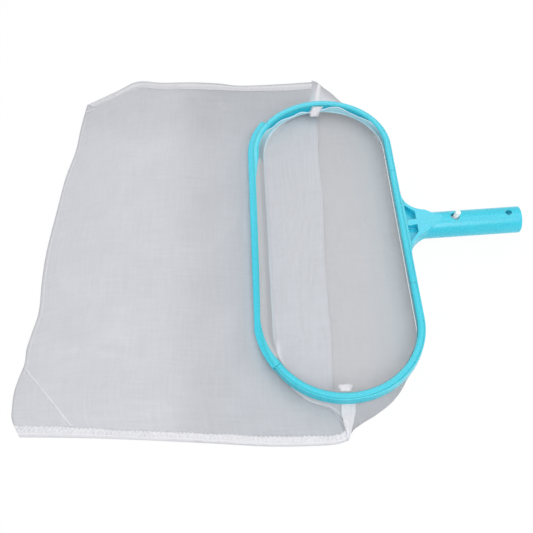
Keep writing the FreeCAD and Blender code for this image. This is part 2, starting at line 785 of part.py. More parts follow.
def bag_point(u, v):
    """Plan position in the flat bag: u from closed end to mouth, v from near side to far side."""
    sides = on_edge(near_edge, u) * (1 - v) + on_edge(far_edge, u) * v
    ends = on_edge(closed_edge, v) * (1 - u) + on_edge(mouth_edge, v) * u
    corners = (closed_edge[0] * (1 - v) + closed_edge[-1] * v) * (1 - u)
    corners = corners + (mouth_edge[0] * (1 - v) + mouth_edge[-1] * v) * u
    return sides + ends - corners


def ease(distance, run):
    """A smooth rise from 0 to 1 over a run."""
    share = max(0.0, min(1.0, distance / run))
    return math.sin(share * math.pi / 2)


def upper_under(u, v):
    """Height of the upper layer's underside."""
    flat = bag_point(u, v)
    side = min(v, 1 - v) * (2 * half_length + n.near_mouth_spread + n.far_mouth_spread)
    end = u * n.bag_reach
    rail = -n.ring_width / 2 + n.rail_width
    share = max(0.0, min(1.0, (rail - flat.x) / n.puff_run))
    smooth = share * share * (3 - 2 * share)
    low = n.cloth + n.layer_gap
    high = n.bag_puff - n.cloth
    lift_here = low + (high - low) * smooth - n.cloth - n.cloth_clearance
    return n.cloth + n.cloth_clearance + lift_here * ease(side, n.bag_shoulder) * ease(end, n.bag_shoulder)


def cloth_part(label, grid):
    """A sheet of cloth through a grid of points, as a closed solid that stands on the grid."""
    surface = Part.BSplineSurface()
    surface.interpolate(grid)
    made = doc.addObject("Part::Feature", label)
    made.Label = label
    made.Shape = surface.toShape().extrude(Vector(0, 0, n.cloth))
    made.Placement = Placement(Vector(-end_x.number, 0, -end_z.number), Rotation())
    parts.append(made)
    return made


ROWS = 26
COLUMNS = 40
net = [[(i / ROWS, j / COLUMNS) for j in range(COLUMNS + 1)] for i in range(ROWS + 1)]
cloth_part("bag_lower_layer", [[bag_point(u, v) for u, v in row] for row in net])
cloth_part(
    "bag_upper_layer",
    [[bag_point(u, v) + Vector(0, 0, upper_under(u, v)) for u, v in row] for row in net],
)


HEM_RADIUS = n.ring_width / 2 - n.rail_width - n.hem_clearance - n.hem_thickness / 2
HEM_ROUND = HEM_RADIUS * math.pi + n.ring_length - n.ring_width
HEM_LEVEL = -n.rail_height - n.hem_below - n.hem_clearance - n.cloth
hem_margin = math.asin(n.fall_inset / HEM_RADIUS) * HEM_RADIUS / HEM_ROUND


def hem_point(v, side, level):
    """A point of the hem's lower edge, from its near end to its far end round one side."""
    quarter = HEM_RADIUS * math.pi / 2
    centre = (n.ring_length - n.ring_width) / 2
    at = v * HEM_ROUND
    if at < quarter:
        angle = at / HEM_RADIUS
        return lay_point(side * HEM_RADIUS * math.sin(angle), -centre - HEM_RADIUS * math.cos(angle), level)
    if at > quarter + 2 * centre:
        angle = (at - quarter - 2 * centre) / HEM_RADIUS
        return lay_point(side * HEM_RADIUS * math.cos(angle), centre + HEM_RADIUS * math.sin(angle), level)
    return lay_point(side * HEM_RADIUS, at - quarter - centre, level)


def mouth_share(y):
    """How far along the mouth's crease it reaches a distance across the net."""
    i = max(i for i in range(STEPS - 1) if mouth_edge[i].y <= y)
    return (i + (y - mouth_edge[i].y) / (mouth_edge[i + 1].y - mouth_edge[i].y)) / (STEPS - 1)


hem_inset = n.rail_width + n.hem_clearance + n.hem_thickness
crease_span = [mouth_share(way * (half_length - hem_inset)) for way in (-1, 1)]


def fall_point(side, v, k):
    """A point between the mouth crease, where k is 0, and one side of the hem, where k is 1."""
    along = crease_span[0] + (crease_span[1] - crease_span[0]) * v
    start = Vector(on_edge(mouth_edge, along))
    start.x += side * n.cloth_clearance
    if side < 0:
        start.z = upper_under(1, along) + n.cloth + n.cloth_clearance
    end = hem_point(hem_margin + (1 - 2 * hem_margin) * v, side, HEM_LEVEL)
    middle = (start + end) / 2
    if side > 0:
        slack = math.sin(2 * math.pi * abs(v - 0.5)) ** 2
        away = Vector(0.6, -1 if v < 0.5 else 1, 0)
        middle = middle + away * (n.mouth_bulge * slack)
        middle.z = middle.z - (middle.z - n.cloth) * 0.5 * slack
    return start * ((1 - k) ** 2) + middle * (2 * k * (1 - k)) + end * (k * k)


def fall_grid(side):
    """The sheet between the mouth crease and one side of the hem, as rows of points."""
    return [[fall_point(side, j / 32, i / 6) for j in range(33)] for i in range(7)]


cloth_part("mouth_fall_right", fall_grid(1))
cloth_part("mouth_fall_left", fall_grid(-1))


def seam_part(label, edge, way):
    """An overlocked side seam: along one edge of the flat bag, round the mouth's end, up to the ring."""
    out = n.seam_flange / 2 + n.seam_clearance
    middle = n.seam_height / 2 + n.seam_lift
    points = []
    for i in range(0, STEPS - 1, 3):
        along = edge[i + 1] - edge[max(i - 1, 0)]
        away = Vector(-along.y, along.x, 0).normalize() * way
        points.append(edge[i] + away * out + Vector(0, 0, middle))
    above = n.cloth + n.cloth_clearance + middle
    corner = edge[-1]
    points[-1] = corner + Vector(-n.seam_flange, way * out, middle)
    points.append(corner + Vector(n.seam_flange * 0.7, way * out / 2, middle * 1.2 + n.cloth_clearance))
    top = hem_point((1 + way) // 2, 1, HEM_LEVEL) + Vector(2 * n.cloth_clearance, 0, 0)
    for k, aside in ((0.12, 1.3), (0.3, 1.2), (0.5, 0.7), (0.68, 0.2), (0.8, 0.0)):
        points.append(corner + (top - corner) * k + Vector(n.seam_flange * aside, 0, above))
    path = Part.BSplineCurve()
    path.interpolate(points)
    wire = Part.Wire([path.toShape()])
    start = points[0]
    direction = path.tangent(path.FirstParameter)[0]
    ring_line = Part.Ellipse(Vector(0, 0, 0), n.seam_flange / 2, n.seam_height / 2)
    profile = Part.Wire([ring_line.toShape()])
    side_axis = Vector(-direction.y, direction.x, 0).normalize()
    frame = FreeCAD.Matrix()
    frame.A11, frame.A21, frame.A31 = side_axis.x, side_axis.y, 0
    frame.A12, frame.A22, frame.A32 = 0, 0, 1
    frame.A13, frame.A23, frame.A33 = direction.x, direction.y, direction.z
    frame.A14, frame.A24, frame.A34 = start.x, start.y, start.z
    profile = profile.transformGeometry(frame)
    shell = Part.BRepOffsetAPI.MakePipeShell(wire)
    shell.setBiNormalMode(Vector(0, 0, 1))
    shell.add(profile)
    shell.build()
    shell.makeSolid()
    made = doc.addObject("Part::Feature", label)
    made.Label = label
    made.Shape = shell.shape()
    made.Placement = Placement(Vector(-end_x.number, 0, -end_z.number), Rotation())
    parts.append(made)
    return made


seam_part("far_side_seam", far_edge, 1)
seam_part("near_side_seam", near_edge, -1)


def dart_part(label, along, across, far):
    """A sewn dart across one closed corner, on top of the upper layer."""
    length = n.bag_reach
    width = 2 * half_length + n.near_mouth_spread + n.far_mouth_spread
    grid = []
    for offset in (0, n.dart_width / 2, n.dart_width):
        row = []
        for i in range(7):
            share = 0.06 + 0.88 * i / 6
            u = (along + offset) * share / length
            v = (across + offset) * (1 - share) / width
            v = 1 - v if far else v
            height = upper_under(u, v) + n.cloth + n.seam_clearance
            row.append(bag_point(u, v) + Vector(0, 0, height))
        grid.append(row)
    return cloth_part(label, grid)


dart_part("far_corner_dart", n.far_dart_reach * 2, n.far_dart_reach, True)
dart_part("near_corner_dart", n.near_dart_reach * 0.8, n.near_dart_reach, False)

doc.recompute()

for item in doc.Objects:
    if "Invalid" in item.State or "Error" in item.State:
        raise RuntimeError(item.Name + " did not compute")
for part in parts:
    shape = part.Shape
    if shape.isNull() or not shape.isValid() or len(shape.Solids) != 1:
        raise RuntimeError("%s is not one sound solid" % part.Label)

os.makedirs("parts", exist_ok=True)
for part in parts:
    part.Shape.exportStep("parts/%s.step" % part.Label)
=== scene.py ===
import math

import bpy
import numpy as np
from mathutils import Matrix, Vector, noise
from mathutils.bvhtree import BVHTree


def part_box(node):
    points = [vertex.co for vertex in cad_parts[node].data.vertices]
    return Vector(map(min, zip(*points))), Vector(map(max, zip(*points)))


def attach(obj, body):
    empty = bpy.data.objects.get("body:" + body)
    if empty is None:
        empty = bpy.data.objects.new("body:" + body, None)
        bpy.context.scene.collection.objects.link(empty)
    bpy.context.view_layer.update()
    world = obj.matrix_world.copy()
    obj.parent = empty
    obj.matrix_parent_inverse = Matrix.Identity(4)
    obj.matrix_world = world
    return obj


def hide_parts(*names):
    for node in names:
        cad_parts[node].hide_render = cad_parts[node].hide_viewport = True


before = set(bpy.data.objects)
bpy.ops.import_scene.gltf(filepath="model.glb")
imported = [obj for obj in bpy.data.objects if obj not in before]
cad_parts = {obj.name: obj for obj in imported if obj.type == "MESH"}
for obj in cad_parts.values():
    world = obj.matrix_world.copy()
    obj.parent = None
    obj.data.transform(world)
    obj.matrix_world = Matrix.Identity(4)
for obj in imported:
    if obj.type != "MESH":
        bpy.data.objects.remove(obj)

scene = bpy.context.scene
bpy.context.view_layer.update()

# Studio: a plain white table under soft boxes, as for a catalogue picture. To the camera the table is
# nearly all plain white, and it keeps a faint shadow under the net.
floor_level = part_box("bag_lower_layer")[0].z
table_mesh = bpy.data.meshes.new("studio_table")
table_half = 4.0
table_corners = [
    (x * table_half, y * table_half, floor_level) for x, y in ((-1, -1), (1, -1), (1, 1), (-1, 1))
]
table_mesh.from_pydata(table_corners, [], [(0, 1, 2, 3)])
table = bpy.data.objects.new("studio_table", table_mesh)
scene.collection.objects.link(table)

table_finish = bpy.data.materials.new("studio_white")
table_finish.use_nodes = True
tree = table_finish.node_tree
tree.nodes.clear()
paper = tree.nodes.new("ShaderNodeBsdfDiffuse")
paper.inputs["Color"].default_value = (0.9, 0.9, 0.9, 1)
glow = tree.nodes.new("ShaderNodeEmission")
glow.inputs["Color"].default_value = (1, 1, 1, 1)
glow.inputs["Strength"].default_value = 1.0
path = tree.nodes.new("ShaderNodeLightPath")
seen = tree.nodes.new("ShaderNodeMath")
seen.operation = "MAXIMUM"
glow_share = tree.nodes.new("ShaderNodeMath")
glow_share.operation = "MULTIPLY"
glow_share.inputs[1].default_value = 0.96
blend = tree.nodes.new("ShaderNodeMixShader")
end = tree.nodes.new("ShaderNodeOutputMaterial")
tree.links.new(path.outputs["Is Camera Ray"], seen.inputs[0])
tree.links.new(path.outputs["Is Glossy Ray"], seen.inputs[1])
tree.links.new(seen.outputs[0], glow_share.inputs[0])
tree.links.new(glow_share.outputs[0], blend.inputs["Fac"])
tree.links.new(paper.outputs[0], blend.inputs[1])
tree.links.new(glow.outputs[0], blend.inputs[2])
tree.links.new(blend.outputs[0], end.inputs["Surface"])
table_mesh.materials.append(table_finish)

world = bpy.data.worlds.new("studio")
scene.world = world
world.use_nodes = True
world.node_tree.nodes["Background"].inputs["Color"].default_value = (1, 1, 1, 1)
world.node_tree.nodes["Background"].inputs["Strength"].default_value = 0.7

for name, place, size_m, watts in (
    ("softbox_overhead", (0.1, -0.2, 1.35), 1.6, 6.5),
    ("softbox_in_front", (-0.1, -1.05, 1.0), 0.7, 4.5),
    ("softbox_behind", (-0.3, 1.2, 1.2), 0.8, 3.5),
):
    light = bpy.data.lights.new(name, "AREA")
    light.size = size_m
    light.energy = watts
    lamp = bpy.data.objects.new(name, light)
    lamp.location = place
    aim = Vector((-0.26, 0, floor_level)) - Vector(place)
    lamp.rotation_euler = aim.to_track_quat("-Z", "Y").to_euler()
    scene.collection.objects.link(lamp)

scene.view_settings.view_transform = "Standard"

# Camera: above the near side of the net, looking down and across it. Its place, turn and lens are those
# at which the ring's outline and the spigot's rims lie as in the picture.
camera = bpy.data.objects.new("camera", bpy.data.cameras.new("camera"))
camera.data.sensor_width = 36
camera.data.lens = 47.583
turn, pitch, roll = (math.radians(a) for a in (2.04, 55.56, -0.44))
level = Vector((math.cos(turn), -math.sin(turn), 0))
above = Vector((math.sin(turn) * math.sin(pitch), math.cos(turn) * math.sin(pitch), math.cos(pitch)))
right = level * math.cos(roll) + above * math.sin(roll)
up = above * math.cos(roll) - level * math.sin(roll)
view = Matrix((right, up, right.cross(up))).transposed().to_4x4()
view.translation = (-0.29061, -0.4637, 0.60391)
camera.matrix_world = view
scene.collection.objects.link(camera)
scene.camera = camera

# Ring, web and spigot: one moulding of turquoise plastic with a satin gloss and a faint mould grain,
# with a highlight painted lighter along its edges. The lip and the clamp strips are of the same plastic
# and snap into the ring's channel.
def moulded_grain():
    """Node group: a faint mould grain, flow marks, softly rounded edges and a highlight painted lighter
    along them.
    """
    group = bpy.data.node_groups.new("moulded_grain", "ShaderNodeTree")
    face = group.interface
    face.new_socket("Colour", in_out="INPUT", socket_type="NodeSocketColor")
    face.new_socket("Edge highlight colour", in_out="INPUT", socket_type="NodeSocketColor")
    face.new_socket("Roughness", in_out="INPUT", socket_type="NodeSocketFloat")
    face.new_socket("Colour", in_out="OUTPUT", socket_type="NodeSocketColor")
    face.new_socket("Roughness", in_out="OUTPUT", socket_type="NodeSocketFloat")
    face.new_socket("Normal", in_out="OUTPUT", socket_type="NodeSocketVector")
    nodes, links = group.nodes, group.links
    given = nodes.new("NodeGroupInput")
    given_out = nodes.new("NodeGroupOutput")
    place = nodes.new("ShaderNodeTexCoord")
    flow = nodes.new("ShaderNodeTexNoise")
    flow.inputs["Scale"].default_value = 22
    flow.inputs["Detail"].default_value = 3
    links.new(place.outputs["Object"], flow.inputs["Vector"])
    shade = nodes.new("ShaderNodeMapRange")
    shade.inputs["To Min"].default_value = 0.93
    shade.inputs["To Max"].default_value = 1.06
    links.new(flow.outputs["Fac"], shade.inputs["Value"])
    toned = nodes.new("ShaderNodeVectorMath")
    toned.operation = "SCALE"
    links.new(given.outputs["Colour"], toned.inputs[0])
    links.new(shade.outputs[0], toned.inputs["Scale"])
    rounding = nodes.new("ShaderNodeBevel")
    rounding.samples = 6
    rounding.inputs["Radius"].default_value = 0.0008
    flat_normal = nodes.new("ShaderNodeNewGeometry")
    turned = nodes.new("ShaderNodeVectorMath")
    turned.operation = "DOT_PRODUCT"
    links.new(rounding.outputs["Normal"], turned.inputs[0])
    links.new(flat_normal.outputs["Normal"], turned.inputs[1])
    # Painted highlight: where the rounded edges bend, the colour turns towards the lighter edge colour.
    edge = nodes.new("ShaderNodeMapRange")
    edge.inputs["From Min"].default_value = 0.999
    edge.inputs["From Max"].default_value = 0.8
    edge.inputs["To Max"].default_value = 0.5
    links.new(turned.outputs["Value"], edge.inputs["Value"])
    highlight_mix = nodes.new("ShaderNodeMix")
    highlight_mix.data_type = "RGBA"
    links.new(edge.outputs[0], highlight_mix.inputs["Factor"])
    links.new(toned.outputs[0], highlight_mix.inputs["A"])
    links.new(given.outputs["Edge highlight colour"], highlight_mix.inputs["B"])
    links.new(highlight_mix.outputs["Result"], given_out.inputs["Colour"])
    fine = nodes.new("ShaderNodeTexNoise")
    fine.inputs["Scale"].default_value = 900
    fine.inputs["Detail"].default_value = 2
    links.new(place.outputs["Object"], fine.inputs["Vector"])
    rough = nodes.new("ShaderNodeMath")
    rough.operation = "MULTIPLY_ADD"
    rough.inputs[1].default_value = 0.12
    links.new(fine.outputs["Fac"], rough.inputs[0])
    links.new(given.outputs["Roughness"], rough.inputs[2])
    links.new(rough.outputs[0], given_out.inputs["Roughness"])
    grain = nodes.new("ShaderNodeBump")
    grain.inputs["Strength"].default_value = 0.06
    grain.inputs["Distance"].default_value = 0.0002
    links.new(fine.outputs["Fac"], grain.inputs["Height"])
    links.new(rounding.outputs["Normal"], grain.inputs["Normal"])
    links.new(grain.outputs["Normal"], given_out.inputs["Normal"])
    return group


moulding = moulded_grain()


def plastic(name, colour, edge_highlight_colour, roughness):
    """A moulded plastic: its colour, the lighter colour painted on its edges as a highlight, and its gloss.
    """
    finish = bpy.data.materials.new(name)
    finish.use_nodes = True
    nodes, links = finish.node_tree.nodes, finish.node_tree.links
    shader = nodes["Principled BSDF"]
    grain = nodes.new("ShaderNodeGroup")
    grain.node_tree = moulding
    grain.inputs["Colour"].default_value = (*colour, 1)
    grain.inputs["Edge highlight colour"].default_value = (*edge_highlight_colour, 1)
    grain.inputs["Roughness"].default_value = roughness
    links.new(grain.outputs["Colour"], shader.inputs["Base Color"])
    links.new(grain.outputs["Roughness"], shader.inputs["Roughness"])
    links.new(grain.outputs["Normal"], shader.inputs["Normal"])
    shader.inputs["IOR"].default_value = 1.49
    shader.inputs["Specular IOR Level"].default_value = 0.9
    shader.inputs["Subsurface Weight"].default_value = 0.4
    shader.inputs["Subsurface Radius"].default_value = (0.2, 0.8, 1.0)
    shader.inputs["Subsurface Scale"].default_value = 0.005
    return finish


def coat(nodes, finish):
    """One finish on solids that show as they are."""
    for node in nodes:
        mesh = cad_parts[node].data
        mesh.materials.clear()
        mesh.materials.append(finish)


turquoise = plastic(
    "turquoise_plastic",
    colour=(0.018, 0.575, 0.735),
    edge_highlight_colour=(0.26, 0.78, 0.87),
    roughness=0.22,
)
coat(("ring_frame", "pole_socket", "front_lip_strip"), turquoise)
coat(("far_clamp_strip", "near_clamp_strip", "handle_side_clamp_strip"), turquoise)

# Spring clip: a V of off-white plastic inside the spigot, with a round button on each leg. The buttons
# snap out through the spigot's two holes and hold the clip there.
clip_white = plastic(
    "clip_plastic",
    colour=(0.88, 0.89, 0.9),
    edge_highlight_colour=(0.93, 0.93, 0.93),
    roughness=0.34,
)
coat(("upper_clip_leg", "lower_clip_leg", "clip_fold"), clip_white)

# Bag: one cloth of fine white mesh, folded at its closed end and sewn up both sides, with its mouth
# held in the ring's channel all round. It lies pressed flat on the table, and its mouth end is drawn
# in under the ring. Its sizes are in mm, as are the ring's.
MM = 0.001
ring_middle_x = -203.611
ring_length, ring_width, rail_width, rail_height = 400, 163, 7.5, 11
tip = math.radians(3.038)
ring_lift = 21.578
end_offset = (ring_length - ring_width) / 2
bag_width, bag_length = 500, 312


def to_row(x, y, z):
    """A place in mm, from the table under the ring's middle, in the frame's metres."""
    return Vector(((x + ring_middle_x) * MM, y * MM, z * MM + floor_level))


def on_ring(x, y, z):
    """A place in mm in the ring, from the middle of its upper face, where the tipped ring lies."""
    return (
        x * math.cos(tip) - z * math.sin(tip),
        y,
        x * math.sin(tip) + z * math.cos(tip) + ring_lift,
    )


def smooth_line(p, t):
    """The place at t on the middle one of three runs through four points."""
    p = [np.array(q, float) for q in p]
    m1, m2 = (p[2] - p[0]) / 2, (p[3] - p[1]) / 2
    t2, t3 = t * t, t * t * t
    return p[1] * (2 * t3 - 3 * t2 + 1) + m1 * (t3 - 2 * t2 + t) + p[2] * (3 * t2 - 2 * t3) + m2 * (t3 - t2)


def along(points, share):
    """The place a share of the way along a smooth line through given points."""
    lengths = [0.0]
    for a, b in zip(points, points[1:]):
        lengths.append(lengths[-1] + math.dist(a, b))
    at = max(0.0, min(1.0, share)) * lengths[-1]
    i = max(k for k in range(len(points) - 1) if lengths[k] <= at)
    t = (at - lengths[i]) / (lengths[i + 1] - lengths[i])
    return smooth_line([points[max(0, min(len(points) - 1, i + k))] for k in (-1, 0, 1, 2)], t)


def through(pairs, at):
    """A value that changes steadily between given pairs of place and value."""
    return float(np.interp(at, [p[0] for p in pairs], [p[1] for p in pairs]))


def step_up(value, low, high):
    """Rises softly from 0 at low to 1 at high."""
    t = max(0.0, min(1.0, (value - low) / (high - low)))
    return t * t * (3 - 2 * t)


# The flat bag's outline on the table, from the place under the ring's middle.
near_line = (
    (-309, -215),
    (-255, -218),
    (-191, -223),
    (-127, -229),
    (-75, -234),
    (-22, -235),
    (-4.5, -231.5),
)
far_line = (
    (-291, 228),
    (-256, 251.5),
    (-229, 269.5),
    (-197, 266),
    (-157, 265),
    (-122, 261),
    (-100, 256),
    (-78, 255),
    (-36, 256),
    (1, 258),
)
closed_line = (
    (-309, -215),
    (-318.5, -198),
    (-320.5, -184),
    (-321, -169),
    (-318.6, -154),
    (-315.5, -139),
    (-316, -124),
    (-314, -108),
    (-310, -80),
    (-312, -40),
    (-312, 0),
    (-308, 55),
    (-304, 104),
    (-297, 146),
    (-294.5, 190),
    (-291, 228),
)
crease_line = (
    (-4.5, -231.5),
    (-13, -190),
    (-13, -160),
    (-10, -120),
    (-10, -84),
    (-9, -44),
    (-6, 10),
    (-3, 60),
    (-3, 122),
    (1, 179),
    (3, 220),
    (1, 258),
)
# How far the cloth at the table stands out past the hem, by the degrees from the ring's end.
near_bulge_right = ((0, 29), (7.4, 23), (17.6, 18.5), (28.8, 14.5), (45, 7.5), (65, 4), (90, 2))
far_bulge_right = ((0, 67), (2.5, 64), (6.4, 53.5), (17.5, 33.6), (29, 21.6), (45, 11), (65, 5), (90, 2))
near_bulge_left = (
    (0, 29),
    (5, 18.6),
    (9.6, 11.5),
    (15, 9.4),
    (29, 9.8),
    (37, 8.1),
    (42, 7.5),
    (60, 0),
    (90, -6),
)
far_bulge_left = ((0, 66), (3, 40), (8, 16), (20, 4), (45, -3), (90, -6))


def lengths_along(places, axis):
    """Running length down a grid of places (axis 0) or across it (axis 1), as a mean of its lines."""
    steps = np.linalg.norm(np.diff(places, axis=axis), axis=2).mean(axis=1 - axis)
    return np.concatenate(([0], np.cumsum(steps)))


def flat_place(u, v):
    """Plan of the flat bag: u from its closed end to the crease, v from its near side to its far."""
    near, far = along(near_line, u), along(far_line, u)
    closed, crease = along(closed_line, v), along(crease_line, v)
    corners = (np.array(closed_line[0]) * (1 - v) + np.array(closed_line[-1]) * v) * (1 - u)
    corners = corners + (np.array(crease_line[0]) * (1 - v) + np.array(crease_line[-1]) * v) * u
    return near * (1 - v) + far * v + closed * (1 - u) + crease * u - corners


def hem_place(v, side, inset, depth):
    """A place round one side of the ring, from its near end to its far end, with its direction out
    and how many degrees round the end's arc it is."""
    radius = ring_width / 2 - inset
    quarter = (ring_width / 2 - rail_width) * math.pi / 2
    at = v * (2 * quarter + 2 * end_offset)
    if at < quarter:
        angle, shift = (at / quarter - 1) * math.pi / 2, -end_offset
    elif at > quarter + 2 * end_offset:
        angle, shift = (at - quarter - 2 * end_offset) / quarter * math.pi / 2, end_offset
    else:
        angle, shift = 0, at - quarter - end_offset
    out = (side * math.cos(angle), math.sin(angle))
    return on_ring(radius * out[0], radius * out[1] + shift, depth), out, math.degrees(abs(angle))


def wrinkle(x, y, amount, seed):
    """A soft unevenness of the cloth, in mm."""
    coarse = noise.noise(Vector((x / 46, y / 60, seed)))
    return amount * (coarse + 0.3 * noise.noise(Vector((x / 15, y / 21, seed + 7))))


def layer_height(u, v, upper):
    """Height of one layer of the flat bag above the table, in mm."""
    side = min(1.0, min(v, 1 - v) * bag_width / 55)
    end = min(1.0, u * bag_length / 40)
    swell = math.sin(side * math.pi / 2) * math.sin(end * math.pi / 2) * (1 - 0.7 * step_up(u, 0.6, 0.9))
    return (1.1 + 3.2 * swell) if upper else 0.35


def fall(v, k, side):
    """The cloth from the crease on the table, where k is 0, to the hem in the ring, where k is 1."""
    lean = 3 * step_up(v, 0.1, 0.25) * step_up(1 - v, 0.1, 0.25) if side < 0 else 0
    hem, out, turn = hem_place(v, side, rail_width + 1.2 + lean, -rail_height + 1.5)
    crease = along(crease_line, v)
    if v < 0.5:
        stand = through(near_bulge_right if side > 0 else near_bulge_left, 90 - turn)
    else:
        stand = through(far_bulge_right if side > 0 else far_bulge_left, 90 - turn)
    end = min(v, 1 - v)
    rest = 0.7 if side > 0 else 1.8 + 1.0 * step_up(end, 0.03, 0.15)
    foot = (hem[0] + out[0] * stand, hem[1] + out[1] * stand, rest + (1.0 if side > 0 else 0.3))
    start = (crease[0], crease[1], rest)
    rise = [hem[i] + out[i] * (stand * 0.5 + 0.6) for i in (0, 1)] + [rest * 0.5 + hem[2] * 0.5]
    route = [
        start,
        [start[i] * 0.62 + foot[i] * 0.38 for i in (0, 1)] + [rest + 0.3],
        [start[i] * 0.22 + foot[i] * 0.78 for i in (0, 1)] + [rest + 0.5],
        foot,
        rise,
        list(hem),
    ]
    at = k * (len(route) - 1)
    i = min(int(at), len(route) - 2)
    return smooth_line([route[max(0, min(len(route) - 1, i + j))] for j in (-1, 0, 1, 2)], at - i)


def cloth_grid(name, net, shade, cover, ring_bounce=None, fill=None, closed=False):
    """A sheet from rows of places in mm: the run of its threads, how light it is, partly its own lightness
    and partly painted light and shade, how dense it is, how much painted turquoise bounce light from the
    plastic falls on it and how far its holes are filled."""
    count = net.shape[1]
    turns = count if closed else count - 1
    corners = [(i, j, k) for i in range(len(net) - 1) for j in range(turns) for k in range(4)]
    steps = {0: (0, 0), 1: (0, 1), 2: (1, 1), 3: (1, 0)}
    faces = []
    for i in range(len(net) - 1):
        for j in range(turns):
            after = (j + 1) % count
            faces.append((i * count + j, i * count + after, (i + 1) * count + after, (i + 1) * count + j))
    mesh = bpy.data.meshes.new(name)
    mesh.from_pydata([to_row(*p) for row in net for p in row], [], faces)
    down = lengths_along(net, 0)
    across = lengths_along(np.concatenate((net, net[:, :1]), axis=1) if closed else net, 1)
    weave_map = mesh.uv_layers.new(name="weave")
    for loop, (i, j, k) in zip(mesh.loops, corners):
        di, dj = steps[k]
        weave_map.data[loop.index].uv = (across[j + dj] * MM, down[i + di] * MM)
    for label, values in (("shade", shade), ("cover", cover), ("ring_bounce", ring_bounce), ("fill", fill)):
        if values is not None:
            painted = mesh.attributes.new(label, "FLOAT", "POINT")
            painted.data.foreach_set("value", np.asarray(values, np.float32).ravel())
    for face in mesh.polygons:
        face.use_smooth = True
    made = bpy.data.objects.new(name, mesh)
    scene.collection.objects.link(made)
    return made


COLUMNS = 160
LEFT_ROWS = 26
LAYER_ROWS = 64
RIGHT_ROWS = 32
columns = [j / COLUMNS for j in range(COLUMNS + 1)]
rows, layers = [], []
for i in range(LEFT_ROWS, 0, -1):
    rows.append([tuple(fall(v, i / LEFT_ROWS, -1)) for v in columns])
    layers.append(("left", i / LEFT_ROWS))
for i in range(5):
    turned = math.radians(90 - 45 * i)
    row = []
    for v in columns:
        x, y = along(crease_line, v)
        height = 1.5 + 1.0 * step_up(min(v, 1 - v), 0.03, 0.15)
        row.append((x + 0.7 * math.cos(turned), y, height + 0.4 * math.sin(turned)))
    rows.append(row)
    layers.append(("fold", 0))
for i in range(LAYER_ROWS, -1, -1):
    u = i / LAYER_ROWS
    rows.append([(*flat_place(u, v), layer_height(u, v, True)) for v in columns])
    layers.append(("upper", 0))
for i in range(LAYER_ROWS + 1):
    u = i / LAYER_ROWS
    rows.append([(*flat_place(u, v), layer_height(u, v, False)) for v in columns])
    layers.append(("lower", 0))
for i in range(1, RIGHT_ROWS + 1):
    rows.append([tuple(fall(v, i / RIGHT_ROWS, 1)) for v in columns])
    layers.append(("right", i / RIGHT_ROWS))


def uneven(layer, x, y, z):
    """The height of a place in mm once its layer has its soft wrinkles."""
    if layer == "upper":
        return max(0.9, z + wrinkle(x, y, 0.22, 3.1))
    if layer == "left":
        return z + wrinkle(x, y, 0.22, 0.4) * step_up(abs(x), 2, 12)
    if layer == "right":
        return max(0.5, z + wrinkle(x, y, 0.22, 6.2))
    return z


def upper_look(x, y):
    """Painted light and shade on the upper layer, darker towards the far side, with painted shade towards
    the ring, painted light right beside it and how much painted turquoise bounce light from the ring falls
    on it.
    """
    from_ring = math.hypot(x, max(0, abs(y) - end_offset)) - ring_width / 2
    painted_light_by_ring = (1 - step_up(from_ring, 2, 17)) * step_up(185 - abs(y), 0, 75)
    light = 1.09 - 0.14 * step_up(x, -190, -128) - 0.09 * step_up(y, 140, 215) + 0.42 * painted_light_by_ring
    return light, 0.05 * step_up(x, -150, -100) + 0.04 * painted_light_by_ring


def left_look(y, v, k):
    """Painted light and shade and painted turquoise bounce light on the fall on the lip's side: darker
    towards the far side, painted light near the hem, most at the far end, and a lighter rim along its fold
    at the near end, its double cloth with a painted highlight.
    """
    far_end, by_hem = step_up(v, 0.72, 0.86), step_up(k, 0.7, 1)
    fold_double_and_highlight = step_up(0.09 - abs(k - 0.6), 0, 0.06) * step_up(0.24 - v, 0, 0.04)
    light = 1.02 - 0.03 * step_up(y, 60, 170) + 0.26 * fold_double_and_highlight
    light += step_up(k, 0.55, 0.9) * 0.09 + by_hem * 0.5 * far_end
    return light, 0.03 + 0.06 * far_end + by_hem * (0.2 + 0.45 * far_end)


def right_look(x, y, v, k):
    """Painted light and shade and painted turquoise bounce light on the fall on the spigot's side: painted
    shade over it all, darker towards the far side, painted light near the hem at the far end and at the
    near end, and bounce light towards the spigot's rail and by the hem.
    """
    far_end = step_up(v, 0.72, 0.86)
    light = 0.75 - 0.05 * step_up(y, 60, 165)
    light += step_up(k, 0.5, 1) * (0.8 * far_end + 0.12 * step_up(0.15 - v, 0, 0.1))
    by_hem = step_up(k, 0.75, 1) * (0.4 * step_up(v, 0.1, 0.2) + 0.3 * far_end)
    return light, step_up(x, 20, 72) * 0.2 + by_hem


net = np.array(rows, float)
# The bag's painted light and shade, and its painted turquoise bounce light from the ring, layer by layer.
shade = np.ones(net.shape[:2])
ring_bounce = np.zeros(net.shape[:2])
fill = np.zeros(net.shape[:2])
for i, (layer, k) in enumerate(layers):
    fill[i] = 0.8 if layer == "lower" else 0
    for j, v in enumerate(columns):
        x, y, z = net[i, j]
        net[i, j, 2] = uneven(layer, x, y, z)
        if layer == "upper":
            shade[i, j], ring_bounce[i, j] = upper_look(x, y)
        elif layer == "left":
            shade[i, j], ring_bounce[i, j] = left_look(y, v, k)
        elif layer == "right":
            shade[i, j], ring_bounce[i, j] = right_look(x, y, v, k)

bag = cloth_grid("net_bag", net, shade, np.ones(net.shape[:2]), ring_bounce, fill)
cloth_top = BVHTree.FromPolygons([v.co for v in bag.data.vertices], [f.vertices for f in bag.data.polygons])


def on_bag(x, y, lift):
    """A place in mm on top of the bag where it really lies."""
    above_all = to_row(x, y, 60)
    hit = cloth_top.ray_cast(above_all, Vector((0, 0, -1)))[0]
    height = (hit.z - floor_level) / MM if hit else 1.0
    return (x, y, height + lift)


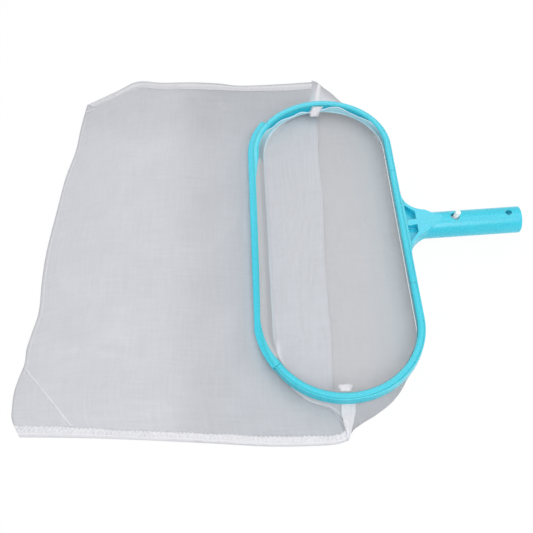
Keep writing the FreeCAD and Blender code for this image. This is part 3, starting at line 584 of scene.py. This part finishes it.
def woven_mesh():
    """Node group: a fine square weave with open holes and its streaks, with the painted light and shade and
    the painted turquoise bounce light that the cloth carries on its points.
    """
    group = bpy.data.node_groups.new("woven_mesh", "ShaderNodeTree")
    face = group.interface
    face.new_socket("Colour", in_out="INPUT", socket_type="NodeSocketColor")
    face.new_socket("Thread share", in_out="INPUT", socket_type="NodeSocketFloat")
    face.new_socket("Colour", in_out="OUTPUT", socket_type="NodeSocketColor")
    face.new_socket("Alpha", in_out="OUTPUT", socket_type="NodeSocketFloat")
    face.new_socket("Normal", in_out="OUTPUT", socket_type="NodeSocketVector")
    nodes, links = group.nodes, group.links
    given = nodes.new("NodeGroupInput")
    given_out = nodes.new("NodeGroupOutput")

    def both(operation, first, second):
        """One step of arithmetic on two sockets."""
        step = nodes.new("ShaderNodeMath")
        step.operation = operation
        links.new(first, step.inputs[0])
        links.new(second, step.inputs[1])
        return step.outputs[0]

    def painted(label):
        """What is painted on the cloth's points under this name."""
        attribute = nodes.new("ShaderNodeAttribute")
        attribute.attribute_name = label
        return attribute.outputs["Fac"]

    def ranged(value, source, target):
        """A value moved from one range to another."""
        change = nodes.new("ShaderNodeMapRange")
        change.inputs["From Min"].default_value, change.inputs["From Max"].default_value = source
        change.inputs["To Min"].default_value, change.inputs["To Max"].default_value = target
        links.new(value, change.inputs["Value"])
        return change

    uv = nodes.new("ShaderNodeUVMap")
    uv.uv_map = "weave"
    threads = []
    for direction in ("X", "Y"):
        wave = nodes.new("ShaderNodeTexWave")
        wave.bands_direction = direction
        wave.inputs["Scale"].default_value = 1 / WEAVE_PITCH * math.pi / 10
        wave.inputs["Distortion"].default_value = 0.6
        wave.inputs["Detail Scale"].default_value = 0.4
        links.new(uv.outputs["UV"], wave.inputs["Vector"])
        threads.append(wave.outputs["Fac"])
    woven = both("MAXIMUM", *threads)
    holes = ranged(both("ADD", woven, given.outputs["Thread share"]), (1, 1.1), (0, 1))
    holes.interpolation_type = "SMOOTHSTEP"
    closed_up = both("MAXIMUM", holes.outputs[0], painted("fill"))
    links.new(both("MULTIPLY", closed_up, painted("cover")), given_out.inputs["Alpha"])
    patches = nodes.new("ShaderNodeTexNoise")
    patches.inputs["Scale"].default_value = 26
    patches.inputs["Detail"].default_value = 5
    links.new(uv.outputs["UV"], patches.inputs["Vector"])
    mottle = ranged(patches.outputs["Fac"], (0, 1), (0.965, 1.035))
    streaks = []
    for stretch in ((430, 26, 1), (26, 430, 1)):
        stretched = nodes.new("ShaderNodeVectorMath")
        stretched.operation = "MULTIPLY"
        stretched.inputs[1].default_value = stretch
        links.new(uv.outputs["UV"], stretched.inputs[0])
        streak = nodes.new("ShaderNodeTexNoise")
        streak.inputs["Scale"].default_value = 1
        streak.inputs["Detail"].default_value = 3
        links.new(stretched.outputs[0], streak.inputs["Vector"])
        streaks.append(streak.outputs["Fac"])
    drawn = ranged(both("ADD", *streaks), (0.6, 1.4), (0.94, 1.06))
    evenness = both("MULTIPLY", mottle.outputs[0], drawn.outputs[0])
    # Painted light and shade: the cloth's colour is scaled by the lightness painted on its points.
    lightness = both("MULTIPLY", evenness, painted("shade"))
    # Painted bounce light: the colour turns towards turquoise as far as the ring's bounce light painted on
    # the points says.
    ring_bounce_mix = nodes.new("ShaderNodeMix")
    ring_bounce_mix.data_type = "RGBA"
    ring_bounce_mix.inputs["B"].default_value = (0.4, 0.68, 0.76, 1)
    links.new(painted("ring_bounce"), ring_bounce_mix.inputs["Factor"])
    links.new(given.outputs["Colour"], ring_bounce_mix.inputs["A"])
    toned = nodes.new("ShaderNodeVectorMath")
    toned.operation = "SCALE"
    links.new(ring_bounce_mix.outputs["Result"], toned.inputs[0])
    links.new(lightness, toned.inputs["Scale"])
    links.new(toned.outputs[0], given_out.inputs["Colour"])
    bump = nodes.new("ShaderNodeBump")
    bump.inputs["Strength"].default_value = 0.25
    bump.inputs["Distance"].default_value = 0.0002
    links.new(woven, bump.inputs["Height"])
    links.new(bump.outputs["Normal"], given_out.inputs["Normal"])
    return group


WEAVE_PITCH = 0.0007
weave = woven_mesh()


def mesh_cloth(name, colour, thread_share):
    """Fine woven mesh: its thread's share of the pitch leaves open holes between the threads."""
    finish = bpy.data.materials.new(name)
    finish.use_nodes = True
    nodes, links = finish.node_tree.nodes, finish.node_tree.links
    shader = nodes["Principled BSDF"]
    cloth = nodes.new("ShaderNodeGroup")
    cloth.node_tree = weave
    cloth.inputs["Colour"].default_value = (*colour, 1)
    cloth.inputs["Thread share"].default_value = thread_share
    links.new(cloth.outputs["Colour"], shader.inputs["Base Color"])
    links.new(cloth.outputs["Alpha"], shader.inputs["Alpha"])
    links.new(cloth.outputs["Normal"], shader.inputs["Normal"])
    shader.inputs["Roughness"].default_value = 0.9
    shader.inputs["Specular IOR Level"].default_value = 0.08
    shader.inputs["Sheen Weight"].default_value = 0.08
    return finish


bag.data.materials.append(mesh_cloth("fine_mesh", colour=(0.6, 0.605, 0.64), thread_share=0.72))
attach(bag, "net")
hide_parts("bag_lower_layer", "bag_upper_layer", "mouth_fall_left", "mouth_fall_right")

# Hem: the bag's folded edge, clamped in the ring's channel with a cord sewn in it. It comes out under
# the strips and hangs over the inner wall; on the lip's side it is turned out over the strip, and at
# the far end it waves.
HEM_BOTTOM = 10.8
HALF_ROUND = 465.7
HEM_ROWS = 13
edge_drops = (0, 0.25, 0.8, 1.4, 1.7)
rows_below_edge = HEM_ROWS - len(edge_drops)
# The hem's edge by the share of the way to the ring's far end: how far it is under the ring's upper
# face, or with a minus how far it lies over the strip.
hem_edge_right = (
    (0, 0.4),
    (0.2, 0.9),
    (0.5, 0.4),
    (0.7, 0.8),
    (0.84, 0.3),
    (0.88, 3.2),
    (0.911, 3.2),
    (0.939, 0.4),
    (0.959, 1.2),
    (0.984, 4.7),
    (1, 6),
)
hem_edge_left = (
    (0, 0.4),
    (0.145, 0.3),
    (0.171, -0.8),
    (0.195, -2.5),
    (0.22, -3.9),
    (0.266, -7.0),
    (0.318, -6.3),
    (0.425, -5.6),
    (0.665, -4.8),
    (0.747, -0.4),
    (0.782, -0.8),
    (0.836, 0.3),
    (0.857, 3.4),
    (0.89, 3.2),
    (0.926, 6.7),
    (0.943, 5.5),
    (0.958, 4.2),
    (0.973, 7.5),
    (1, 6),
)
# The strip's upper face by the way in from the ring's outside.
strip_top = ((-6, -1), (0, 0.05), (1.5, 0.35), (5, 0.05), (7.3, -0.8))
stations = [(side, v) for side, vs in ((1, columns), (-1, columns[::-1])) for v in vs[:-1]]
hem_rows, hem_shade, hem_cover, hem_ring_bounce = [], [], [], []


def hem_start(v, side, share):
    """How far under the ring's upper face the hem's edge is, in mm; under 0 it lies over the strip."""
    pairs = hem_edge_right if side > 0 else hem_edge_left
    softened = sum(through(pairs, v + (n - 2) * 0.004) for n in range(5)) / 5
    return softened + 0.25 * noise.noise(Vector((share / 9, side * 5.0, 1.7)))


for i in range(HEM_ROWS):
    line, light, dense, bounce_share = [], [], [], []
    for side, v in stations:
        share = v * HALF_ROUND
        lip_side = side < 0
        start = hem_start(v, side, share)
        far_arc = step_up(v, 0.76, 0.86)
        on_top = step_up(-start, 0.2, 1.6)
        if i < len(edge_drops):
            drop = start + edge_drops[i]
        else:
            edge_end = start + edge_drops[-1]
            drop = edge_end + (HEM_BOTTOM - edge_end) * (i + 1 - len(edge_drops)) / rows_below_edge
        lean = 0
        if lip_side:
            lean = 3 * step_up(v, 0.1, 0.25) * step_up(1 - v, 0.1, 0.25) * step_up(drop, 0, 9)
        lean += 0.2 + far_arc * (1.3 * step_up(start, 1, 4) * (1 - step_up(drop, start + 2, 10)))
        lean += 0.5 * step_up(drop, 3, 9) + 0.25 * noise.noise(Vector((share / 16, drop / 6, 4.0)))
        if drop < 0:
            inset, depth = rail_width - 0.2 + drop, through(strip_top, rail_width - 0.2 + drop) + 0.3
        else:
            inset = rail_width - 0.1 + min(drop, 0.8) + lean * step_up(drop, 0, 2)
            depth = -0.5 - drop
        line.append(hem_place(v, side, inset, depth)[0])
        edge_line = 1 if 0 < i < 4 else 0
        second = far_arc * step_up(4 - abs(i - 6) * 4, 0, 4) * (0.3 if lip_side else 1)
        straight = step_up(v, 0.15, 0.25) * (1 - far_arc)
        # Painted light and shade and painted turquoise bounce light on the hem, bluer wherever it hangs
        # over the wall. By the far arc it is painted lighter and bluer and made denser, so that less of the
        # wall's shade shows through, and its folded edge there is lighter, a double cloth with a painted
        # highlight. Along the straight sides it is painted darker, most at the foot of the wall on the
        # spigot's side.
        at_foot = 0.5 - 0.2 * far_arc - (0 if lip_side else 0.45 * straight)
        wall = 0.26 + (0.24 if lip_side else 0.16) * straight + at_foot * step_up(drop, 7.5, 10.5)
        wall += 0.4 * far_arc
        dense.append(max(wall, edge_line * far_arc, 0.8 * second, 0.97 * on_top))
        lightness = 1.05 + 0.45 * far_arc + 0.1 * max(edge_line * far_arc, 0.7 * second) - 0.1 * on_top
        lightness -= (0.15 if lip_side else 0.25 * step_up(drop, 6, 9)) * straight
        light.append(lightness)
        bounce_share.append((0.4 + 0.2 * straight) * (1 - on_top) + 0.55 * far_arc * (1 - edge_line))
    hem_ring_bounce.append(bounce_share)
    hem_rows.append(line)
    hem_shade.append(light)
    hem_cover.append(dense)
hem = cloth_grid("mouth_hem", np.array(hem_rows, float), hem_shade, hem_cover, hem_ring_bounce, closed=True)
hem.data.materials.append(mesh_cloth("hem_mesh", colour=(0.6, 0.62, 0.65), thread_share=0.95))
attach(hem, "net")
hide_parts("bag_hem")
coat(("hem_cord",), clip_white)

# Side seams: the two edges of the cloth, turned together and overlocked in white thread. Each runs from
# a corner of the closed end to the crease, then stands up to the end of the ring.
near_inner = (
    (-315.5, -203.5),
    (-256, -208.5),
    (-191, -215),
    (-157, -217),
    (-127, -220.5),
    (-76, -224.5),
    (-21, -226),
    (-6.5, -222),
)
far_inner = (
    (-283, 222),
    (-252, 240.5),
    (-226, 255),
    (-200, 251.5),
    (-157, 249.5),
    (-101, 244),
    (-78, 243),
    (-37, 242),
    (-1, 243.5),
)
seam_cloth = mesh_cloth("seam_mesh", colour=(0.72, 0.72, 0.755), thread_share=1.05)


def band(outer, inner, length, profile, scallop):
    """The overlocked edge between two lines: rows of places, and how light each row is."""
    made, light = [], []
    for share, height, lightness in profile:
        line = []
        for j in range(length + 1):
            u = j / length
            edge, inside = along(outer, u), along(inner, u)
            inside = inside + (0, 0.9 * noise.noise(Vector((u * 13, 0, 2.2))) * scallop)
            wave = 0.6 * scallop * math.sin(u * length * 1.55) * share**3
            reach = math.dist(edge, inside)
            x, y = edge + (inside - edge) * (share + wave / reach)
            rest = layer_height(u, share * reach / bag_width, True)
            lump = 0.25 * noise.noise(Vector((x / 5, y / 5, share * 3)))
            line.append((x, y, rest * step_up(share, -0.2, 0.5) + height + lump))
        made.append(line)
        light.append([lightness] * (length + 1))
    return np.array(made, float), np.array(light)


# Across an overlocked edge from its outside: the share of its width, its height and how light it is.
near_profile = (
    (0.0, 0.25, 0.88),
    (0.08, 0.8, 0.92),
    (0.2, 0.95, 0.98),
    (0.3, 1.0, 1.0),
    (0.38, 0.9, 0.98),
    (0.5, 1.2, 1.02),
    (0.75, 1.25, 1.06),
    (0.95, 0.9, 1.04),
    (1.0, 0.3, 0.96),
)
far_profile = (
    (0.0, 0.25, 0.84),
    (0.1, 0.6, 0.84),
    (0.26, 0.7, 0.85),
    (0.34, 1.0, 0.94),
    (0.45, 1.3, 0.98),
    (0.65, 1.25, 0.87),
    (0.85, 1.0, 0.85),
    (0.95, 0.8, 0.84),
    (1.0, 0.3, 0.8),
)


def post(centre, half_widths, lights):
    """The seam between the corner of the bag and the ring: rows of places across it."""
    steps = 24
    made, light = [], []
    for n, lightness in enumerate(lights):
        share = n / (len(lights) - 1) * 2 - 1
        line = []
        for j in range(steps + 1):
            x, y, z = along(centre, j / steps)
            half = half_widths[0] + (half_widths[1] - half_widths[0]) * step_up(j / steps, 0, 0.8)
            wave = 0.4 * noise.noise(Vector((j / 3, share, 9)))
            x += share * half + wave
            line.append((x, y, max(z, on_bag(x, y, 0.5)[2]) + 0.7 * (1 - share * share)))
        made.append(line)
        light.append([lightness] * (steps + 1))
    return np.array(made, float), np.array(light)


near_post_lights = (0.96, 1.04, 1.08, 1.04, 0.94, 0.92, 0.96, 0.9)
near_post_line = (
    (-4.2, -230.5, 1.9),
    (-3, -222, 2.8),
    (-2.3, -211, 4.6),
    (-1.6, -203, 7.2),
    (-1.2, -197.5, 9.6),
)
far_post_line = ((9.2, 251, 2.4), (5.9, 233, 3.6), (4.2, 222, 5.2), (3, 213, 7), (2, 203, 9))
SEAM_STEPS = 300
for side, parts, replaced in (
    (
        "near",
        (
            band(near_line, near_inner, SEAM_STEPS, near_profile, scallop=1.0),
            post(near_post_line, half_widths=(1.6, 6.8), lights=near_post_lights),
        ),
        "near_side_seam",
    ),
    (
        "far",
        (
            band(far_line, far_inner, SEAM_STEPS, far_profile, scallop=0.1),
            post(far_post_line, half_widths=(2.6, 4), lights=(0.9, 1.0, 1.04, 1.0, 0.9)),
        ),
        "far_side_seam",
    ),
):
    for number, (places, light) in enumerate(parts):
        name = side + ("_seam_band" if number == 0 else "_seam_post")
        piece = cloth_grid(name, places, light, np.ones(light.shape))
        piece.data.materials.append(seam_cloth)
        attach(piece, "net")
    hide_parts(replaced)

# Seam tabs: the frayed ends of the side seams, turned in over the ring's wall at both ends of the
# mouth. They are of the seams' own cloth, held down by the clamp strips. Each row of an outline has
# its left and right sides, its way along the ring and its height.
TAB_ROWS, TAB_COLUMNS = 14, 16
for name, replaced, outline, lift in (
    (
        "far_seam_tab_end",
        "far_seam_tab",
        ((-6, 8.5, 190.8, 20.4), (-8, 6.5, 187.5, 18.4), (-10, 4, 184.5, 15.6), (-8.3, 1.8, 180.8, 12.6)),
        1.1,
    ),
    (
        "near_seam_tab_end",
        "near_seam_tab",
        (
            (-8.6, 0.8, -191.4, 20.8),
            (-10.6, 2.4, -188, 20.2),
            (-11.4, 3.6, -184.6, 18.6),
            (-9.6, 2.8, -182, 16.4),
        ),
        0.9,
    ),
):
    lines, lights, covers = [], [], []
    for i in range(TAB_ROWS + 1):
        left, right, y, z = along(outline, i / TAB_ROWS)
        by_end = step_up(abs(i / TAB_ROWS * 2 - 1), 0.3, 1)
        line, light, dense = [], [], []
        for j in range(TAB_COLUMNS + 1):
            share = j / TAB_COLUMNS
            fray = 0.9 * noise.noise(Vector((share * 6, i * 0.4, 2.5))) * by_end
            crumple = lift * noise.noise(Vector((share * 4.2, i * 0.35, 8.1)))
            line.append((left * (1 - share) + right * share, y + fray, z + crumple))
            light.append(1.02 + 0.12 * noise.noise(Vector((i * 0.5, j * 0.6, 5))))
            inside = min(j, TAB_COLUMNS - j, 1.3 * i + 1, 1.3 * (TAB_ROWS - i) + 1) / 5
            ragged = 0.25 * noise.noise(Vector((i * 0.9, j * 0.9, 3.3)))
            dense.append(min(1, max(0.1, 0.2 + inside + ragged)))
        lines.append(line)
        lights.append(light)
        covers.append(dense)
    tab = cloth_grid(name, np.array(lines, float), lights, covers)
    tab.data.materials.append(seam_cloth)
    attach(tab, "net")
    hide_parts(replaced)


# Stitches: white sewing thread, as a zigzag over the overlocked edges, as close stitches on the darts
# that draw in the corners of the closed end, and as single stitches with gaps along that end.
def thread_material(name, colour):
    """Twisted sewing thread: a fine slant twist in its lightness and its bump."""
    finish = bpy.data.materials.new(name)
    finish.use_nodes = True
    nodes, links = finish.node_tree.nodes, finish.node_tree.links
    shader = nodes["Principled BSDF"]
    place = nodes.new("ShaderNodeTexCoord")
    twist = nodes.new("ShaderNodeTexWave")
    twist.bands_direction = "DIAGONAL"
    twist.inputs["Scale"].default_value = 900
    twist.inputs["Distortion"].default_value = 1.5
    links.new(place.outputs["Object"], twist.inputs["Vector"])
    tone = nodes.new("ShaderNodeMix")
    tone.data_type = "RGBA"
    tone.inputs["A"].default_value = (*[c * 0.9 for c in colour], 1)
    tone.inputs["B"].default_value = (*colour, 1)
    links.new(twist.outputs["Fac"], tone.inputs["Factor"])
    links.new(tone.outputs["Result"], shader.inputs["Base Color"])
    shader.inputs["Roughness"].default_value = 0.55
    shader.inputs["Sheen Weight"].default_value = 0.2
    bump = nodes.new("ShaderNodeBump")
    bump.inputs["Strength"].default_value = 0.3
    bump.inputs["Distance"].default_value = 0.0001
    links.new(twist.outputs["Fac"], bump.inputs["Height"])
    links.new(bump.outputs["Normal"], shader.inputs["Normal"])
    return finish


def sewing_tree():
    """Geometry nodes: a thread that swings from side to side along each line it is given."""
    tree = bpy.data.node_groups.new("sewn_thread", "GeometryNodeTree")
    face = tree.interface
    face.new_socket("Lines", in_out="INPUT", socket_type="NodeSocketGeometry")
    for label in ("Pitch", "Width", "Thread", "Unevenness"):
        face.new_socket(label, in_out="INPUT", socket_type="NodeSocketFloat")
    face.new_socket("Seed", in_out="INPUT", socket_type="NodeSocketInt")
    face.new_socket("Finish", in_out="INPUT", socket_type="NodeSocketMaterial")
    face.new_socket("Thread", in_out="OUTPUT", socket_type="NodeSocketGeometry")
    nodes, links = tree.nodes, tree.links
    given, sewn = nodes.new("NodeGroupInput"), nodes.new("NodeGroupOutput")
    curve = nodes.new("GeometryNodeMeshToCurve")
    spaced = nodes.new("GeometryNodeResampleCurve")
    spaced.mode = "LENGTH"
    links.new(given.outputs["Lines"], curve.inputs["Mesh"])
    links.new(curve.outputs["Curve"], spaced.inputs["Curve"])
    links.new(given.outputs["Pitch"], spaced.inputs["Length"])
    tangent = nodes.new("GeometryNodeInputTangent")
    sideways = nodes.new("ShaderNodeVectorMath")
    sideways.operation = "CROSS_PRODUCT"
    sideways.inputs[1].default_value = (0, 0, 1)
    links.new(tangent.outputs["Tangent"], sideways.inputs[0])
    index = nodes.new("GeometryNodeInputIndex")
    odd = nodes.new("ShaderNodeMath")
    odd.operation = "MODULO"
    odd.inputs[1].default_value = 2
    links.new(index.outputs["Index"], odd.inputs[0])
    swing = nodes.new("ShaderNodeMath")
    swing.operation = "SUBTRACT"
    swing.inputs[1].default_value = 0.5
    links.new(odd.outputs[0], swing.inputs[0])
    reach = nodes.new("ShaderNodeMath")
    reach.operation = "MULTIPLY"
    links.new(swing.outputs[0], reach.inputs[0])
    links.new(given.outputs["Width"], reach.inputs[1])
    offset = nodes.new("ShaderNodeVectorMath")
    offset.operation = "SCALE"
    links.new(sideways.outputs[0], offset.inputs[0])
    links.new(reach.outputs[0], offset.inputs["Scale"])
    chance = nodes.new("FunctionNodeRandomValue")
    chance.data_type = "FLOAT_VECTOR"
    chance.inputs[0].default_value = (-1, -1, -0.3)
    chance.inputs[1].default_value = (1, 1, 0.3)
    links.new(given.outputs["Seed"], chance.inputs["Seed"])
    shaken = nodes.new("ShaderNodeVectorMath")
    shaken.operation = "SCALE"
    links.new(chance.outputs[0], shaken.inputs[0])
    links.new(given.outputs["Unevenness"], shaken.inputs["Scale"])
    both = nodes.new("ShaderNodeVectorMath")
    both.operation = "ADD"
    links.new(offset.outputs[0], both.inputs[0])
    links.new(shaken.outputs[0], both.inputs[1])
    moved = nodes.new("GeometryNodeSetPosition")
    links.new(spaced.outputs["Curve"], moved.inputs["Geometry"])
    links.new(both.outputs[0], moved.inputs["Offset"])
    circle = nodes.new("GeometryNodeCurvePrimitiveCircle")
    circle.inputs["Resolution"].default_value = 8
    links.new(given.outputs["Thread"], circle.inputs["Radius"])
    tube = nodes.new("GeometryNodeCurveToMesh")
    tube.inputs["Fill Caps"].default_value = True
    links.new(moved.outputs["Geometry"], tube.inputs["Curve"])
    links.new(circle.outputs["Curve"], tube.inputs["Profile Curve"])
    real = nodes.new("GeometryNodeRealizeInstances")
    finished = nodes.new("GeometryNodeSetMaterial")
    links.new(tube.outputs["Mesh"], real.inputs["Geometry"])
    links.new(real.outputs["Geometry"], finished.inputs["Geometry"])
    links.new(given.outputs["Finish"], finished.inputs["Material"])
    links.new(finished.outputs["Geometry"], sewn.inputs[0])
    return tree


sewing = sewing_tree()
white_thread = thread_material("white_thread", (0.96, 0.96, 0.98))


def sew(name, lines, pitch, width, thread, unevenness, seed, broken=False):
    """Thread along lines of places in mm; broken lines are single stitches with gaps between."""
    points, edges = [], []
    for line in lines:
        first = len(points)
        points.extend(to_row(*p) for p in line)
        edges.extend((first + n, first + n + 1) for n in range(0, len(line) - 1, 2 if broken else 1))
    guide = bpy.data.meshes.new(name + "_guide")
    guide.from_pydata(points, edges, [])
    holder = bpy.data.objects.new(name + "_guide", guide)
    scene.collection.objects.link(holder)
    modifier = holder.modifiers.new("sewing", "NODES")
    modifier.node_group = sewing
    settings = {
        "Pitch": pitch * MM,
        "Width": width * MM,
        "Thread": thread * MM,
        "Unevenness": unevenness * MM,
        "Seed": seed,
        "Finish": white_thread,
    }
    for socket in sewing.interface.items_tree:
        if socket.in_out == "INPUT" and socket.name in settings:
            modifier[socket.identifier] = settings[socket.name]
    holder.update_tag()
    depsgraph = bpy.context.evaluated_depsgraph_get()
    sewn_mesh = bpy.data.meshes.new_from_object(holder.evaluated_get(depsgraph))
    bpy.data.objects.remove(holder)
    sewn_mesh.name = name
    for face in sewn_mesh.polygons:
        face.use_smooth = True
    made = bpy.data.objects.new(name, sewn_mesh)
    scene.collection.objects.link(made)
    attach(made, "net")
    return made


def on_band(outer, inner, share, lift, steps, span=(0, 1)):
    """A line along an overlocked edge, a share of its width in from the outside."""
    line = []
    for n in range(steps + 1):
        u = span[0] + (span[1] - span[0]) * n / steps
        edge, inside = along(outer, u), along(inner, u)
        x, y = edge + (inside - edge) * share
        rest = layer_height(u, share * math.dist(edge, inside) / bag_width, True)
        line.append((x, y, rest * step_up(share, -0.2, 0.5) + lift))
    return line


def across_bag(start, end, pitch, lift):
    """Places along a straight line over the bag's upper layer."""
    steps = int(math.dist(start, end) / pitch)
    between = [np.array(start) + (np.array(end) - np.array(start)) * n / steps for n in range(steps + 1)]
    return [on_bag(*p, lift) for p in between]


near_zigzag = on_band(near_line, near_inner, share=0.72, lift=1.5, steps=400)
near_chain = on_band(near_line, near_inner, share=0.27, lift=1.25, steps=340)
far_zigzag = on_band(far_line, far_inner, share=0.67, lift=1.6, steps=200)
beside_post = np.array((-2.4, 0, 1.2))
near_post = [tuple(along(near_post_line, n / 40) + beside_post) for n in range(10, 41)]
sew("near_zigzag", [near_zigzag], pitch=2.0, width=5.2, thread=0.34, unevenness=0.6, seed=3)
sew("near_chain", [near_chain], pitch=1.2, width=0.5, thread=0.25, unevenness=0.1, seed=5)
sew("far_zigzag", [far_zigzag], pitch=3.4, width=4.4, thread=0.18, unevenness=0.5, seed=8)
sew("near_post_stitches", [near_post], pitch=1.8, width=4.0, thread=0.26, unevenness=0.3, seed=9)
near_dart = sew(
    "near_dart_stitches",
    [across_bag((-312, -147), (-261.5, -207), pitch=1.2, lift=0.4)],
    pitch=1.3,
    width=1.0,
    thread=0.45,
    unevenness=0.2,
    seed=11,
)
far_dart = sew(
    "far_dart_stitches",
    [
        across_bag((-291, 214), (-279, 218), pitch=1.2, lift=0.5),
        on_band(far_line, far_inner, share=0.8, lift=1.6, steps=40, span=(0.12, 0.23)),
    ],
    pitch=1.5,
    width=1.6,
    thread=0.45,
    unevenness=0.4,
    seed=13,
)
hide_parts("near_corner_dart")
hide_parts("far_corner_dart")
inward = np.array((3.6, 0))
shares = [0.15 + 0.8 * n / 300 for n in range(301)]
closed_end = [on_bag(*(along(closed_line, share) + inward), lift=0.15) for share in shares]
sew(
    "closed_end_stitches",
    [closed_end],
    pitch=1.6,
    width=0.3,
    thread=0.24,
    unevenness=0.12,
    seed=17,
    broken=True,
)
